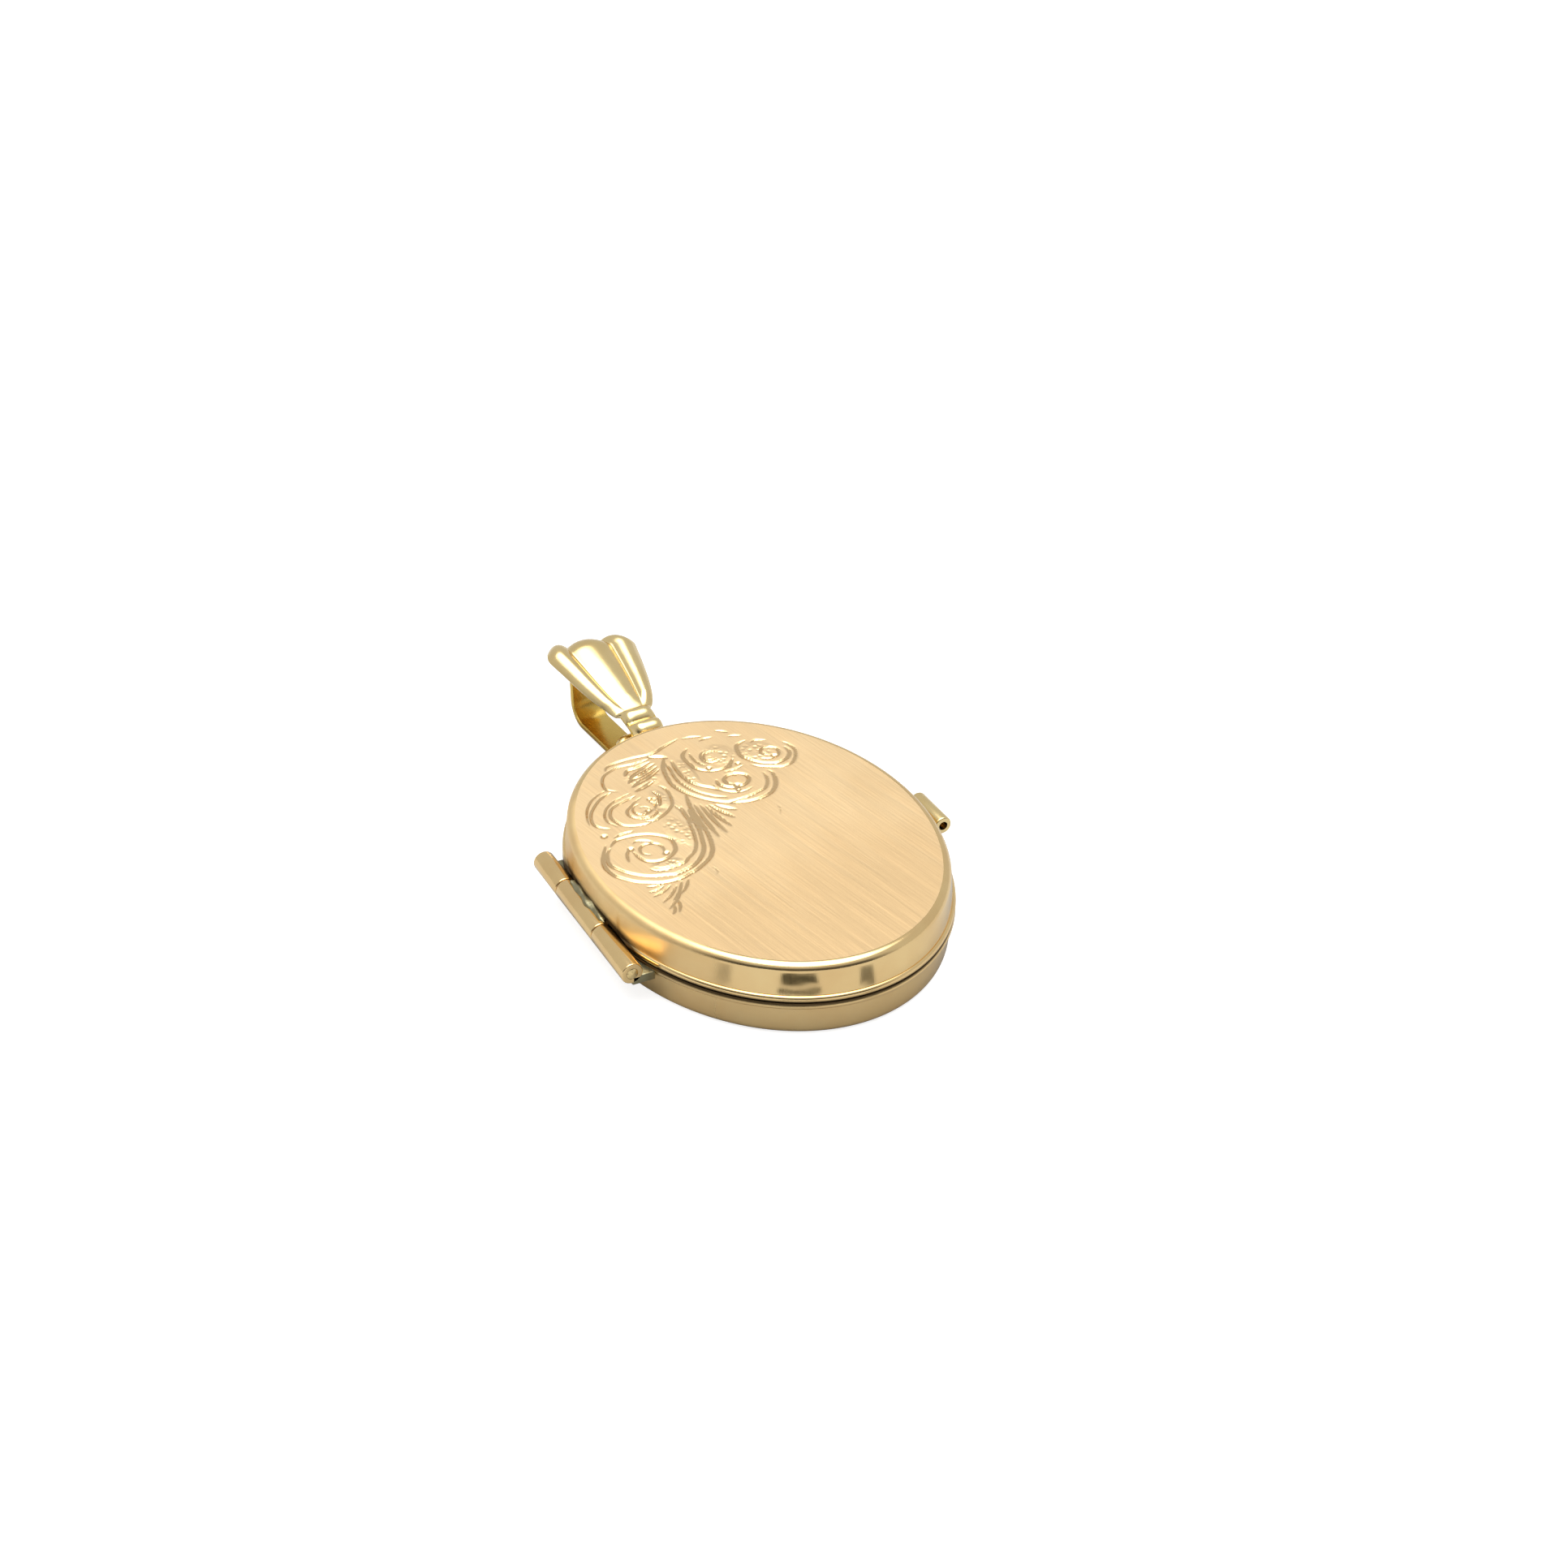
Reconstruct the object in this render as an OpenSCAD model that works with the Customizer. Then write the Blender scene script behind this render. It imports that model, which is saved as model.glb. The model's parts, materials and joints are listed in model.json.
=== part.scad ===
// Oval locket lying on its back: two shallow covers on a three-knuckle hinge, with photo frames inside
// and a fluted bail swinging on a loop. Origin: centre of the back's resting face. +Y points to the bail,
// +Z out of the front face, and the hinge runs along Y on the -X side.

/* [Covers] */
// Width of the oval over its rims, across the hinge
body_w = 15.5; // [12:0.1:24]
// Height of the oval over its rims, along the hinge
body_h = 20; // [16:0.1:30]
// Depth of the back cover, from its resting face to the seam
back_depth = 1.65; // [1.3:0.05:3]
// Depth of the front cover, from the seam to its face
front_depth = 1.7; // [1.4:0.05:3]
// Thickness of the stamped sheet
sheet = 0.3; // [0.2:0.02:0.45]
// How far each wall leans in between the rim and the rounded edge
lean = 0.1; // [0:0.02:0.2]
// Radius of the rounded edge round each face
edge_r = 0.36; // [0.2:0.02:0.5]

/* [Rims] */
// How far the rim wires stand out from the walls
rim_proud = 0.12; // [0.05:0.01:0.2]
// Height of each rim wire at the seam
rim_h = 0.3; // [0.2:0.02:0.45]
// Gap at the seam between the closed rims
seam_gap = 0.03; // [0.02:0.01:0.1]

/* [Snap lip] */
// Height of the lip above the seam
lip_rise = 0.42; // [0.25:0.01:0.5]
// Depth of the lip below the seam
lip_drop = 0.45; // [0.3:0.01:0.6]
// Thickness of the lip
lip_t = 0.22; // [0.15:0.01:0.3]
// Gap between the lip and the front cover's wall
lip_gap = 0.04; // [0.02:0.01:0.08]

/* [Hinge] */
// Outside diameter of the hinge tube
knuckle_d = 0.93; // [0.8:0.01:1.2]
// Diameter of the hinge pin
pin_d = 0.5; // [0.3:0.01:0.6]
// Radial gap between the pin and the knuckle that turns on it
pin_gap = 0.02; // [0.01:0.005:0.04]
// How far the hinge axis lies outside the oval
hinge_out = 0.11; // [0.08:0.01:0.2]
// How far the hinge axis lies above the seam
hinge_rise = 0.08; // [0:0.01:0.2]
// Length of the knuckle nearest the bail
upper_len = 2.3; // [1.5:0.1:3]
// Length of the middle knuckle, which the front cover carries
middle_len = 3.55; // [2.5:0.1:5]
// Length of the knuckle farthest from the bail
lower_len = 3.05; // [1.5:0.1:4]
// How far the middle knuckle's centre lies towards the bail
hinge_shift = 0.2; // [-1:0.1:1]
// Gap between neighbouring knuckles
knuckle_gap = 0.05; // [0.03:0.01:0.1]
// Gap between a knuckle and the cover it isn't soldered to
turn_gap = 0.06; // [0.04:0.01:0.1]
// Thickness of the plates that carry the two end knuckles
bearer_t = 0.4; // [0.3:0.02:0.5]

/* [Thumb tab] */
// Length of the thumb tab along the rim
tab_len = 2.3; // [1.5:0.1:4]
// Diameter of the tube that makes the tab
tab_d = 0.8; // [0.6:0.05:1.2]
// Wall of that tube
tab_t = 0.2; // [0.15:0.01:0.3]
// Gap between the rim and the tube
tab_out = 0.22; // [0.1:0.01:0.4]
// How far the tube reaches below the front rim's seam face
tab_drop = 0.1; // [0:0.01:0.15]

/* [Photo frames] */
// Width of the oval frame that holds a picture
frame_w = 1.3; // [0.9:0.1:2]
// Thickness of that frame
frame_t = 0.3; // [0.2:0.02:0.36]
// Thickness of the clear window under the frame
window_t = 0.14; // [0.1:0.01:0.18]
// Thickness of the picture card under the window
card_t = 0.16; // [0.1:0.01:0.18]
// Gap round the frame, the window and the card
insert_gap = 0.05; // [0.03:0.01:0.1]

/* [Loop] */
// Thickness of the loop's wire
loop_wire = 0.56; // [0.4:0.02:0.6]
// Distance from the rim to the middle of the loop's outer bar
loop_out = 1.6; // [1.5:0.05:2]
// Gap between the strap and each leg of the loop
loop_gap = 0.18; // [0.1:0.01:0.4]
// How steeply the loop rises from the back rim
loop_tilt = 20; // [15:1:25]

/* [Bail] */
// Length from the loop's bar to the far end of the fold
bail_len = 5.75; // [4.8:0.05:8]
// Height of the fold's top above the loop's bar
fold_rise = 2.05; // [1.6:0.05:2.4]
// How far the bail hangs turned sideways on the loop
bail_skew = 4; // [0:1:6]
// Radius of the wrap round the loop's bar
wrap_r = 0.86; // [0.8:0.01:1]
// Radius of the fold at the top
fold_r = 0.8; // [0.6:0.05:1]
// Radius of the lower corner under the fold
heel_r = 1.1; // [0.8:0.05:1.3]
// Radius of the lower corner nearer the locket
toe_r = 0.8; // [0.6:0.05:1]
// How far that corner's centre lies beyond the loop's bar
toe_out = 2; // [1.6:0.05:2.4]
// Width of the strap that closes the bail behind
strap_w = 1.45; // [1.2:0.05:2]
// Thickness of the strap
strap_t = 0.26; // [0.2:0.02:0.3]
// Width of the fluted leaf at the fold
leaf_w = 4.3; // [3.4:0.1:5]
// Width of the leaf at its neck
neck_w = 1.4; // [1.1:0.1:1.6]
// How far the neck lies beyond the loop's bar
neck_out = 0.6; // [0.4:0.05:0.8]
// Height of the leaf above the strap
leaf_t = 0.28; // [0.2:0.02:0.4]
// How far the leaf's side flutes droop at the fold
droop = 0.35; // [0.2:0.05:0.5]
// Radius of the bead across the neck
bead_r = 0.4; // [0.3:0.02:0.5]

/* [Hidden] */
$fn = 96;
oval_sides = 144;        // sides of the flat oval pieces
sliver = 0.01;           // how far cutting shapes reach past what they cut
solder_t = 0.01;         // film of solder between each rim and its cover
half_w = body_w / 2;
half_h = body_h / 2;

seam_z = back_depth;
top_z = back_depth + front_depth;
wall_in = rim_proud + lean + sheet;      // inset of the straight inner wall
face_in = rim_proud + lean + edge_r;     // inset where the flat face begins

pin_r = pin_d / 2;
knuckle_r = knuckle_d / 2;
bore_r = pin_r + pin_gap;
hinge_x = -(half_w + hinge_out);
hinge_z = seam_z + hinge_rise;
middle_y = hinge_shift - middle_len / 2;
upper_y = middle_y + middle_len + knuckle_gap;
lower_y = middle_y - knuckle_gap - lower_len;
barrel_len = lower_len + middle_len + upper_len + 2 * knuckle_gap;

frame_in = wall_in + insert_gap;

loop_wire_r = loop_wire / 2;
loop_root_z = seam_z - rim_h - loop_wire_r / 2;      // where a leg's middle meets the back rim
bail_y = half_h + loop_out * cos(loop_tilt);         // middle of the loop's bar, which the bail swings on
bail_z = loop_root_z + loop_out * sin(loop_tilt);
leg_x = strap_w / 2 + loop_gap + loop_wire_r;

wrap_at = [0.12, 0.05];  // middle of the strap's wrap, as (y, z) from the loop's bar
heel_set = 0.1;          // how far the heel lies back from the end of the fold
neck_lift = 0.1;         // how far the leaf's neck stands above the wrap
leaf_room = 1;           // how far the cut under the leaf reaches past the fold

gold = [0.93, 0.8, 0.55];
polished = [0.87, 0.74, 0.47];
inner_gold = [0.8, 0.62, 0.3];

// Turns its children, drawn as (distance from the centre, up), into an oval solid. The drawing's
// radius half_h + d is stretched to the oval that lies d outside the rims.
module oval_turned(d) {
    scale([(half_w + d) / (half_h + d), 1, 1]) rotate_extrude() children();
}

// Points of the oval that lies d outside the rims.
function oval_points(d) = [
    for (i = [0:oval_sides - 1]) let (t = 360 * i / oval_sides)
        [(half_w + d) * cos(t), (half_h + d) * sin(t)]
];

// A flat oval plate of height h, whose outline lies d outside the rims.
module oval_plate(d, h) {
    linear_extrude(h) polygon(oval_points(d));
}

// Half section of a cover's outside, from the seam up to a face at depth.
function cover_section(depth) = concat(
    [[0, 0], [half_h - rim_proud, 0], [half_h - rim_proud, rim_h]],
    [for (i = [0:6]) let (t = 15 * i)
        [half_h - face_in + edge_r * cos(t), depth - edge_r + edge_r * sin(t)]],
    [[0, depth]]
);

// One stamped cover, open at the seam, with its face lapped flat at depth above it.
module cover_shell(depth) {
    difference() {
        oval_turned(-rim_proud) polygon(cover_section(depth + sliver));
        translate([-half_w, -half_h, depth]) cube([body_w, body_h, edge_r]);
        translate([0, 0, -sliver]) oval_turned(-wall_in)
            square([half_h - wall_in, depth - sheet + sliver]);
    }
}

// A rim wire standing on the seam: rounded outside, with a film of solder between it and the cover.
module rim_wire() {
    difference() {
        hull() for (t = [0:45:180])
            translate([0, 0, (rim_h - sliver) / 2 * (1 - cos(t))])
                oval_plate(-rim_proud / 2 * (1 - sin(t)), sliver);
        translate([0, 0, -sliver]) oval_plate(solder_t - rim_proud, rim_h + 2 * sliver);
    }
}

// A round bar along the hinge from y, len long.
module hinge_bar(r, y, len) {
    translate([hinge_x, y, hinge_z]) rotate([-90, 0, 0]) cylinder(r = r, h = len);
}

module knuckle(y, len, bore) {
    difference() {
        hinge_bar(knuckle_r, y, len);
        hinge_bar(bore, y - sliver, len + 2 * sliver);
    }
}

// Room in the back half for its own end knuckles and for the turning middle one.
module back_hinge_room() {
    hinge_bar(knuckle_r, upper_y, upper_len);
    hinge_bar(knuckle_r, lower_y, lower_len);
    hinge_bar(knuckle_r + turn_gap, middle_y - knuckle_gap, middle_len + 2 * knuckle_gap);
}

// Room in the front half for its own middle knuckle and for the end ones it turns round.
module front_hinge_room() {
    hinge_bar(knuckle_r, middle_y, middle_len);
    hinge_bar(knuckle_r + turn_gap, middle_y + middle_len, upper_len + 2 * knuckle_gap);
    hinge_bar(knuckle_r + turn_gap, lower_y - knuckle_gap, lower_len + 2 * knuckle_gap);
}

module back_cover() {
    color(gold) difference() {
        translate([0, 0, seam_z]) mirror([0, 0, 1]) cover_shell(back_depth);
        back_hinge_room();
    }
}

module front_cover() {
    color(gold) difference() {
        translate([0, 0, seam_z + seam_gap]) cover_shell(front_depth - seam_gap);
        front_hinge_room();
    }
}

module back_rim() {
    color(polished) difference() {
        translate([0, 0, seam_z]) mirror([0, 0, 1]) rim_wire();
        back_hinge_room();
    }
}

module front_rim() {
    color(polished) difference() {
        translate([0, 0, seam_z + seam_gap]) rim_wire();
        front_hinge_room();
        hinge_bar(knuckle_r + turn_gap, lower_y, barrel_len);
    }
}

// A flat oval band of height h between two outlines.
module oval_band(outer, inner, h) {
    difference() {
        oval_plate(outer, h);
        translate([0, 0, -sliver]) oval_plate(inner, h + 2 * sliver);
    }
}

// An oval band, soldered inside the back cover's wall, whose upper part fits inside the front cover.
module snap_lip() {
    color(inner_gold) {
        translate([0, 0, seam_z - lip_drop])
            oval_band(-wall_in, -wall_in - lip_t, lip_drop);
        translate([0, 0, seam_z])
            oval_band(-wall_in - lip_gap, -wall_in - lip_t, lip_rise);
    }
}

module hinge_knuckle_upper() {
    color(polished) knuckle(upper_y, upper_len, pin_r);
}

module hinge_knuckle_lower() {
    color(polished) knuckle(lower_y, lower_len, pin_r);
}

module hinge_knuckle_middle() {
    color(polished) knuckle(middle_y, middle_len, bore_r);
}

module hinge_pin() {
    color(gold) hinge_bar(pin_r, lower_y, barrel_len);
}

// A plate under an end knuckle, from the back rim out to the middle of the tube.
module hinge_bearer(y, len) {
    difference() {
        translate([hinge_x, y, seam_z - rim_h - bearer_t / 2])
            cube([half_w / 2, len, bearer_t]);
        oval_plate(0, seam_z);
        hinge_bar(knuckle_r, y - sliver, len + 2 * sliver);
    }
}

module hinge_bearer_upper() {
    color(polished) hinge_bearer(upper_y, upper_len);
}

module hinge_bearer_lower() {
    color(polished) hinge_bearer(lower_y, lower_len);
}

// A short tube beside the front rim, on a web that is soldered to the rim.
module thumb_tab() {
    tab_r = tab_d / 2;
    tube_x = half_w + tab_out + tab_r;
    foot_z = seam_z + seam_gap;
    color(polished) difference() {
        union() {
            translate([tube_x, -tab_len / 2, foot_z + tab_r - tab_drop]) rotate([-90, 0, 0])
                cylinder(r = tab_r, h = tab_len);
            translate([half_w - tab_out, -tab_len / 2, foot_z]) cube([2 * tab_out + tab_r, tab_len, rim_h]);
        }
        translate([tube_x, -tab_len / 2 - sliver, foot_z + tab_r - tab_drop]) rotate([-90, 0, 0])
            cylinder(r = tab_r - tab_t, h = tab_len + 2 * sliver);
        oval_plate(0, top_z);
    }
}

// The three layers of one half's picture, each between two heights above the cover's inner face.
module picture_card_at(z) {
    translate([0, 0, z]) oval_plate(-frame_in, card_t);
}

module window_at(z) {
    translate([0, 0, z]) oval_plate(-frame_in, window_t);
}

module photo_frame_at(z) {
    translate([0, 0, z]) oval_band(-frame_in, -frame_in - frame_w, frame_t);
}

module back_picture_card() {
    color("ivory") picture_card_at(sheet);
}

module back_window() {
    color([0.8, 0.85, 0.9, 0.5]) window_at(sheet + card_t);
}

module back_photo_frame() {
    color(inner_gold) photo_frame_at(sheet + card_t + window_t);
}

// Turns a layer of the back half over into the front half.
module in_front() {
    translate([0, 0, top_z]) mirror([0, 0, 1]) children();
}

module front_picture_card() {
    color("ivory") in_front() picture_card_at(sheet);
}

module front_window() {
    color([0.8, 0.85, 0.9, 0.5]) in_front() window_at(sheet + card_t);
}

module front_photo_frame() {
    color(inner_gold) in_front() photo_frame_at(sheet + card_t + window_t);
}

// A wire staple: two legs out of the back rim and a straight bar across them.
module locket_loop() {
    color(polished) difference() {
        translate([0, bail_y, bail_z]) rotate([loop_tilt, 0, 0]) {
            rotate([0, 90, 0]) cylinder(r = loop_wire_r, h = 2 * leg_x, center = true);
            for (side = [-1, 1]) translate([side * leg_x, 0, 0]) {
                sphere(r = loop_wire_r);
                rotate([90, 0, 0]) cylinder(r = loop_wire_r, h = loop_out + loop_wire);
            }
        }
        oval_plate(0, seam_z);
        translate([0, 0, seam_z]) oval_plate(turn_gap, front_depth);
    }
}

// Side view of the bail's closed loop, as (y, z) from the bar it swings on. The four rounds are the
// wrap round the bar, the fold at the top, and the two lower corners, which both reach the ground.
bail_rounds = [
    [wrap_at[0], wrap_at[1], wrap_r],
    [bail_len - fold_r, fold_rise - fold_r, fold_r],
    [bail_len - heel_r - heel_set, heel_r - bail_z, heel_r],
    [toe_out, toe_r - bail_z, toe_r]
];

module bail_outline(inset) {
    hull() for (part = bail_rounds)
        translate([part[0], part[1]]) circle(r = part[2] - inset, $fn = 48);
}

// Moves its children from the origin to the loop's bar, turned sideways as the bail hangs.
module at_bar() {
    translate([0, bail_y, bail_z]) rotate([0, 0, bail_skew]) children();
}

// Stands a (y, z) drawing up across the bail, w wide and centred on it.
module across(w) {
    translate([-w / 2, 0, 0]) rotate([90, 0, 90]) linear_extrude(w) children();
}

module bail_strap() {
    color(polished) at_bar() across(strap_w) difference() {
        bail_outline(0);
        bail_outline(strap_t);
    }
}

// One flute of the leaf: a ridge that spreads from the neck to the fold. The side flutes droop.
module leaf_flute(side) {
    neck_r = neck_w / 6;
    end_r = leaf_w / 6;
    hull() {
        translate([side * (neck_w / 2 - neck_r), neck_out, wrap_r + leaf_t - neck_r + neck_lift])
            sphere(r = neck_r, $fn = 24);
        translate([side * (leaf_w / 2 - end_r), bail_len - end_r,
                   fold_rise + leaf_t - end_r - abs(side) * droop])
            sphere(r = end_r, $fn = 24);
    }
}

// The fluted front of the bail, lapped over the strap, with a bead across its neck.
module bail_leaf() {
    color(gold) at_bar() difference() {
        union() {
            for (side = [-1:1]) leaf_flute(side);
            translate([0, wrap_at[0], wrap_r]) rotate([0, 90, 0])
                cylinder(r = bead_r, h = neck_w, center = true);
        }
        across(strap_w + 2 * sliver) bail_outline(0);
        across(leaf_w) polygon([
            [0, -wrap_r], [bail_len + leaf_room, -wrap_r],
            [bail_len + leaf_room, fold_rise - droop - leaf_t], [0, wrap_r - leaf_t]
        ]);
    }
}

back_cover();
back_rim();
snap_lip();
front_cover();
front_rim();
hinge_knuckle_upper();
hinge_knuckle_lower();
hinge_knuckle_middle();
hinge_bearer_upper();
hinge_bearer_lower();
hinge_pin();
thumb_tab();
back_picture_card();
back_window();
back_photo_frame();
front_picture_card();
front_window();
front_photo_frame();
locket_loop();
bail_strap();
bail_leaf();
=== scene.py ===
# %% [markdown]
# # An oval gold locket
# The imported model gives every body, hinge and size of the locket. This lesson builds the looks on it: pressed
# gold covers, an engraved face, rim wires, hinge tubes and a fluted bail. Lengths are written in millimetres,
# and each finished mesh is shrunk to metres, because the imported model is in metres.

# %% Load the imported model
import math

import bmesh
import bpy
import numpy as np
from mathutils import Matrix, Vector
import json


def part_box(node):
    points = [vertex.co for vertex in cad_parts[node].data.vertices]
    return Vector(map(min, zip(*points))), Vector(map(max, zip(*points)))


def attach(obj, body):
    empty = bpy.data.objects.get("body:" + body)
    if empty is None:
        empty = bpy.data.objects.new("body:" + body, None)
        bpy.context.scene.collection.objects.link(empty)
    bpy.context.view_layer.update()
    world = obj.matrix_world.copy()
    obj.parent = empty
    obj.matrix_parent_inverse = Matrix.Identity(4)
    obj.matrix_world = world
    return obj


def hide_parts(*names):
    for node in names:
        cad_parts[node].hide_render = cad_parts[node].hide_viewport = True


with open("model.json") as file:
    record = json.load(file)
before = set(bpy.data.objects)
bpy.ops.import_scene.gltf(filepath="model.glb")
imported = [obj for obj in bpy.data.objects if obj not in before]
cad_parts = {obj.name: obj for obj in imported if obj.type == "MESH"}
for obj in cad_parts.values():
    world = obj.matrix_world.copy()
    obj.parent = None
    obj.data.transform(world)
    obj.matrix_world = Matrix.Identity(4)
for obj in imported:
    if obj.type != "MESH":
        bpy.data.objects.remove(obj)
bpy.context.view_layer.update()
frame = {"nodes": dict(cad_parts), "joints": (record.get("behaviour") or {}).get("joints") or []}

MM = 0.001

# %% [markdown]
# ## Sizes
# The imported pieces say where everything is, so the sizes are read from their boxes. Only small making
# details, such as an inset or a rounding, are written here as numbers.

# %% Read the main sizes
def corners(node):
    """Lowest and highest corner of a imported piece, in millimetres."""
    low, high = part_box(node)
    return low / MM, high / MM

rim_high = corners("back_rim")[1]
back_high = corners("back_cover")[1]
front_low, front_high = corners("front_cover")
HALF_W = rim_high.x
HALF_H = rim_high.y
SEAM = back_high.z
FRONT_SEAM = front_low.z
TOP = front_high.z
print(f"oval {2 * HALF_W:.2f} x {2 * HALF_H:.2f} mm, seam at {SEAM:.2f}, top at {TOP:.2f}")

# %% Making details shared by both halves
SHEET = 0.3
RIM_PROUD = 0.12
RIM_H = 0.3
EDGE_R = 0.36
EDGE_THIN = 0.14
NEAR_MIDDLE = 0.001
LEAN = 0.1
WALL_IN = RIM_PROUD + LEAN + SHEET
FACE_IN = RIM_PROUD + LEAN + EDGE_R
PLATE_T = 0.12
OVAL_STEPS = 288

# %% [markdown]
# ## Turning and finishing
# Oval pieces are made as a jeweller makes a round one: a section is turned about the middle. The turned ring
# is then pushed in along X so that it keeps the same inset from the oval all the way round, as a pressed
# cover does.

# %% Helper: finish a mesh as a piece
CORNER, EDGE, FACE = bmesh.types.BMVert, bmesh.types.BMEdge, bmesh.types.BMFace
SHARP = 38

def only(items, kind):
    """The corners, the edges or the faces among the parts of a bmesh."""
    return [item for item in items if isinstance(item, kind)]

def add_object(name, data):
    """Makes an object and puts it in the scene."""
    made = bpy.data.objects.new(name, data)
    bpy.context.scene.collection.objects.link(made)
    return made

def piece(bm, name, body, finish, stands_for=(), sharp=SHARP):
    """Turns a bmesh in millimetres into a finished piece in metres that rides on a body."""
    bmesh.ops.remove_doubles(bm, verts=bm.verts, dist=0.0004)
    bmesh.ops.recalc_face_normals(bm, faces=bm.faces)
    bmesh.ops.scale(bm, vec=(MM, MM, MM), verts=bm.verts)
    mesh = bpy.data.meshes.new(name)
    bm.to_mesh(mesh)
    bm.free()
    mesh.shade_smooth()
    mesh.set_sharp_from_angle(angle=math.radians(sharp))
    made = add_object(name, mesh)
    made.data.materials.append(finish)
    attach(made, body)
    if stands_for:
        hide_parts(*stands_for)
    print(f"{name}: {len(mesh.vertices)} corners, {len(mesh.polygons)} faces")
    return made

# %% Helper: turn a section
def outline(bm, section, place):
    """A closed ring of edges through the section's points, each put in space by place(point)."""
    corners_made = [bm.verts.new(place(point)) for point in section]
    ring = zip(corners_made, corners_made[1:] + corners_made[:1])
    return corners_made + [bm.edges.new(pair) for pair in ring]

def turn(section, centre, axis, place, steps):
    """Turns a closed section all the way round an axis."""
    bm = bmesh.new()
    geometry = outline(bm, section, place)
    bmesh.ops.spin(bm, geom=geometry, cent=centre, axis=axis, angle=math.tau, steps=steps, use_merge=True)
    return bm

def to_oval(bm, inmost=FACE_IN):
    """Pushes a ring turned about the middle in along X, keeping each corner's inset from the rim."""
    for corner in bm.verts:
        radius = math.hypot(corner.co.x, corner.co.y)
        inset = min(HALF_H - radius, inmost)
        corner.co.x *= (HALF_W - inset) / (HALF_H - inset)

def oval_ring(section, inmost=FACE_IN):
    """An oval ring or shell from a section of (inset from the rim, height) points."""
    bm = turn(section, (0, 0, 0), (0, 0, 1), lambda p: (0, HALF_H - p[0], p[1]), OVAL_STEPS)
    to_oval(bm, inmost)
    return bm

def arc(centre, radius, start, end, count):
    """Points along an arc of a section, angles in degrees."""
    angles = [math.radians(start + (end - start) * i / count) for i in range(count + 1)]
    return [(centre[0] + radius * math.cos(a), centre[1] + radius * math.sin(a)) for a in angles]

# %% Helper: cut room for the hinge
def hinge_cutter(start, end, radius):
    """A bar round the hinge's line, from start to end along Y."""
    bm = bmesh.new()
    bmesh.ops.create_cone(bm, cap_ends=True, segments=64, radius1=radius, radius2=radius, depth=end - start)
    place = Matrix.Translation((HINGE_X, (start + end) / 2, HINGE_Z)) @ Matrix.Rotation(math.radians(90), 4,
                                                                                        "X")
    bmesh.ops.transform(bm, matrix=place, verts=bm.verts)
    bmesh.ops.scale(bm, vec=(MM, MM, MM), verts=bm.verts)
    mesh = bpy.data.meshes.new("hinge_cutter")
    bm.to_mesh(mesh)
    bm.free()
    return add_object("hinge_cutter", mesh)

def cut(made, spans):
    """Takes the hinge's room out of a finished piece, one (from, to, radius) span after another."""
    for span in spans:
        cutter = hinge_cutter(*span)
        boolean = made.modifiers.new("hinge_room", "BOOLEAN")
        boolean.operation = "DIFFERENCE"
        boolean.solver = "EXACT"
        boolean.object = cutter
        graph = bpy.context.evaluated_depsgraph_get()
        mesh = bpy.data.meshes.new_from_object(made.evaluated_get(graph))
        made.modifiers.clear()
        made.data = mesh
        bpy.data.objects.remove(cutter)
    made.data.set_sharp_from_angle(angle=math.radians(SHARP))
    print(f"{made.name}: cut to {len(made.data.polygons)} faces")

# %% Where the hinge is
upper_low, upper_high = corners("hinge_knuckle_upper")
middle_low, middle_high = corners("hinge_knuckle_middle")
lower_low, lower_high = corners("hinge_knuckle_lower")
HINGE_X = (upper_low.x + upper_high.x) / 2
HINGE_Z = (upper_low.z + upper_high.z) / 2
KNUCKLE_R = (upper_high.z - upper_low.z) / 2
PIN_R = 0.25
BORE_R = 0.27
TURN_GAP = 0.06
PAST = 0.05
back_room = [(upper_low.y, upper_high.y, KNUCKLE_R), (lower_low.y, lower_high.y, KNUCKLE_R),
             (lower_high.y, upper_low.y, KNUCKLE_R + TURN_GAP)]
front_room = [(middle_low.y, middle_high.y, KNUCKLE_R),
              (middle_high.y, upper_high.y + PAST, KNUCKLE_R + TURN_GAP),
              (lower_low.y - PAST, middle_low.y, KNUCKLE_R + TURN_GAP)]
print(f"hinge at x {HINGE_X:.2f}, z {HINGE_Z:.2f}, tube radius {KNUCKLE_R:.3f}")

# %% [markdown]
# ## Shader sums in plain Python
# A finish is a small network of nodes. Writing it as sums is easier to read, so one class wraps a socket and
# turns + - * / into Math nodes. Colours go through Mix nodes, and every other node comes from one method.

# %% Helper: a socket that takes part in sums
class Value:
    def __init__(self, tree, socket):
        self.tree, self.socket = tree, socket

    def sum(self, operation, first, second=None):
        node = self.tree.nodes.new("ShaderNodeMath")
        node.operation = operation
        for place, given in enumerate((first, second)):
            if isinstance(given, Value):
                self.tree.links.new(given.socket, node.inputs[place])
            elif given is not None:
                node.inputs[place].default_value = given
        return Value(self.tree, node.outputs[0])

    def __add__(self, other):
        return self.sum("ADD", self, other)

    def __radd__(self, other):
        return self.sum("ADD", other, self)

    def __sub__(self, other):
        return self.sum("SUBTRACT", self, other)

    def __rsub__(self, other):
        return self.sum("SUBTRACT", other, self)

    def __mul__(self, other):
        return self.sum("MULTIPLY", self, other)

    def __rmul__(self, other):
        return self.sum("MULTIPLY", other, self)

    def __truediv__(self, other):
        return self.sum("DIVIDE", self, other)

    def sum_root(self):
        return self.sum("SQRT", self)

    def size(self):
        return self.sum("ABSOLUTE", self)

    def clamped(self):
        top = self.sum("MINIMUM", self, 1.0)
        return self.sum("MAXIMUM", top, 0.0)

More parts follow.
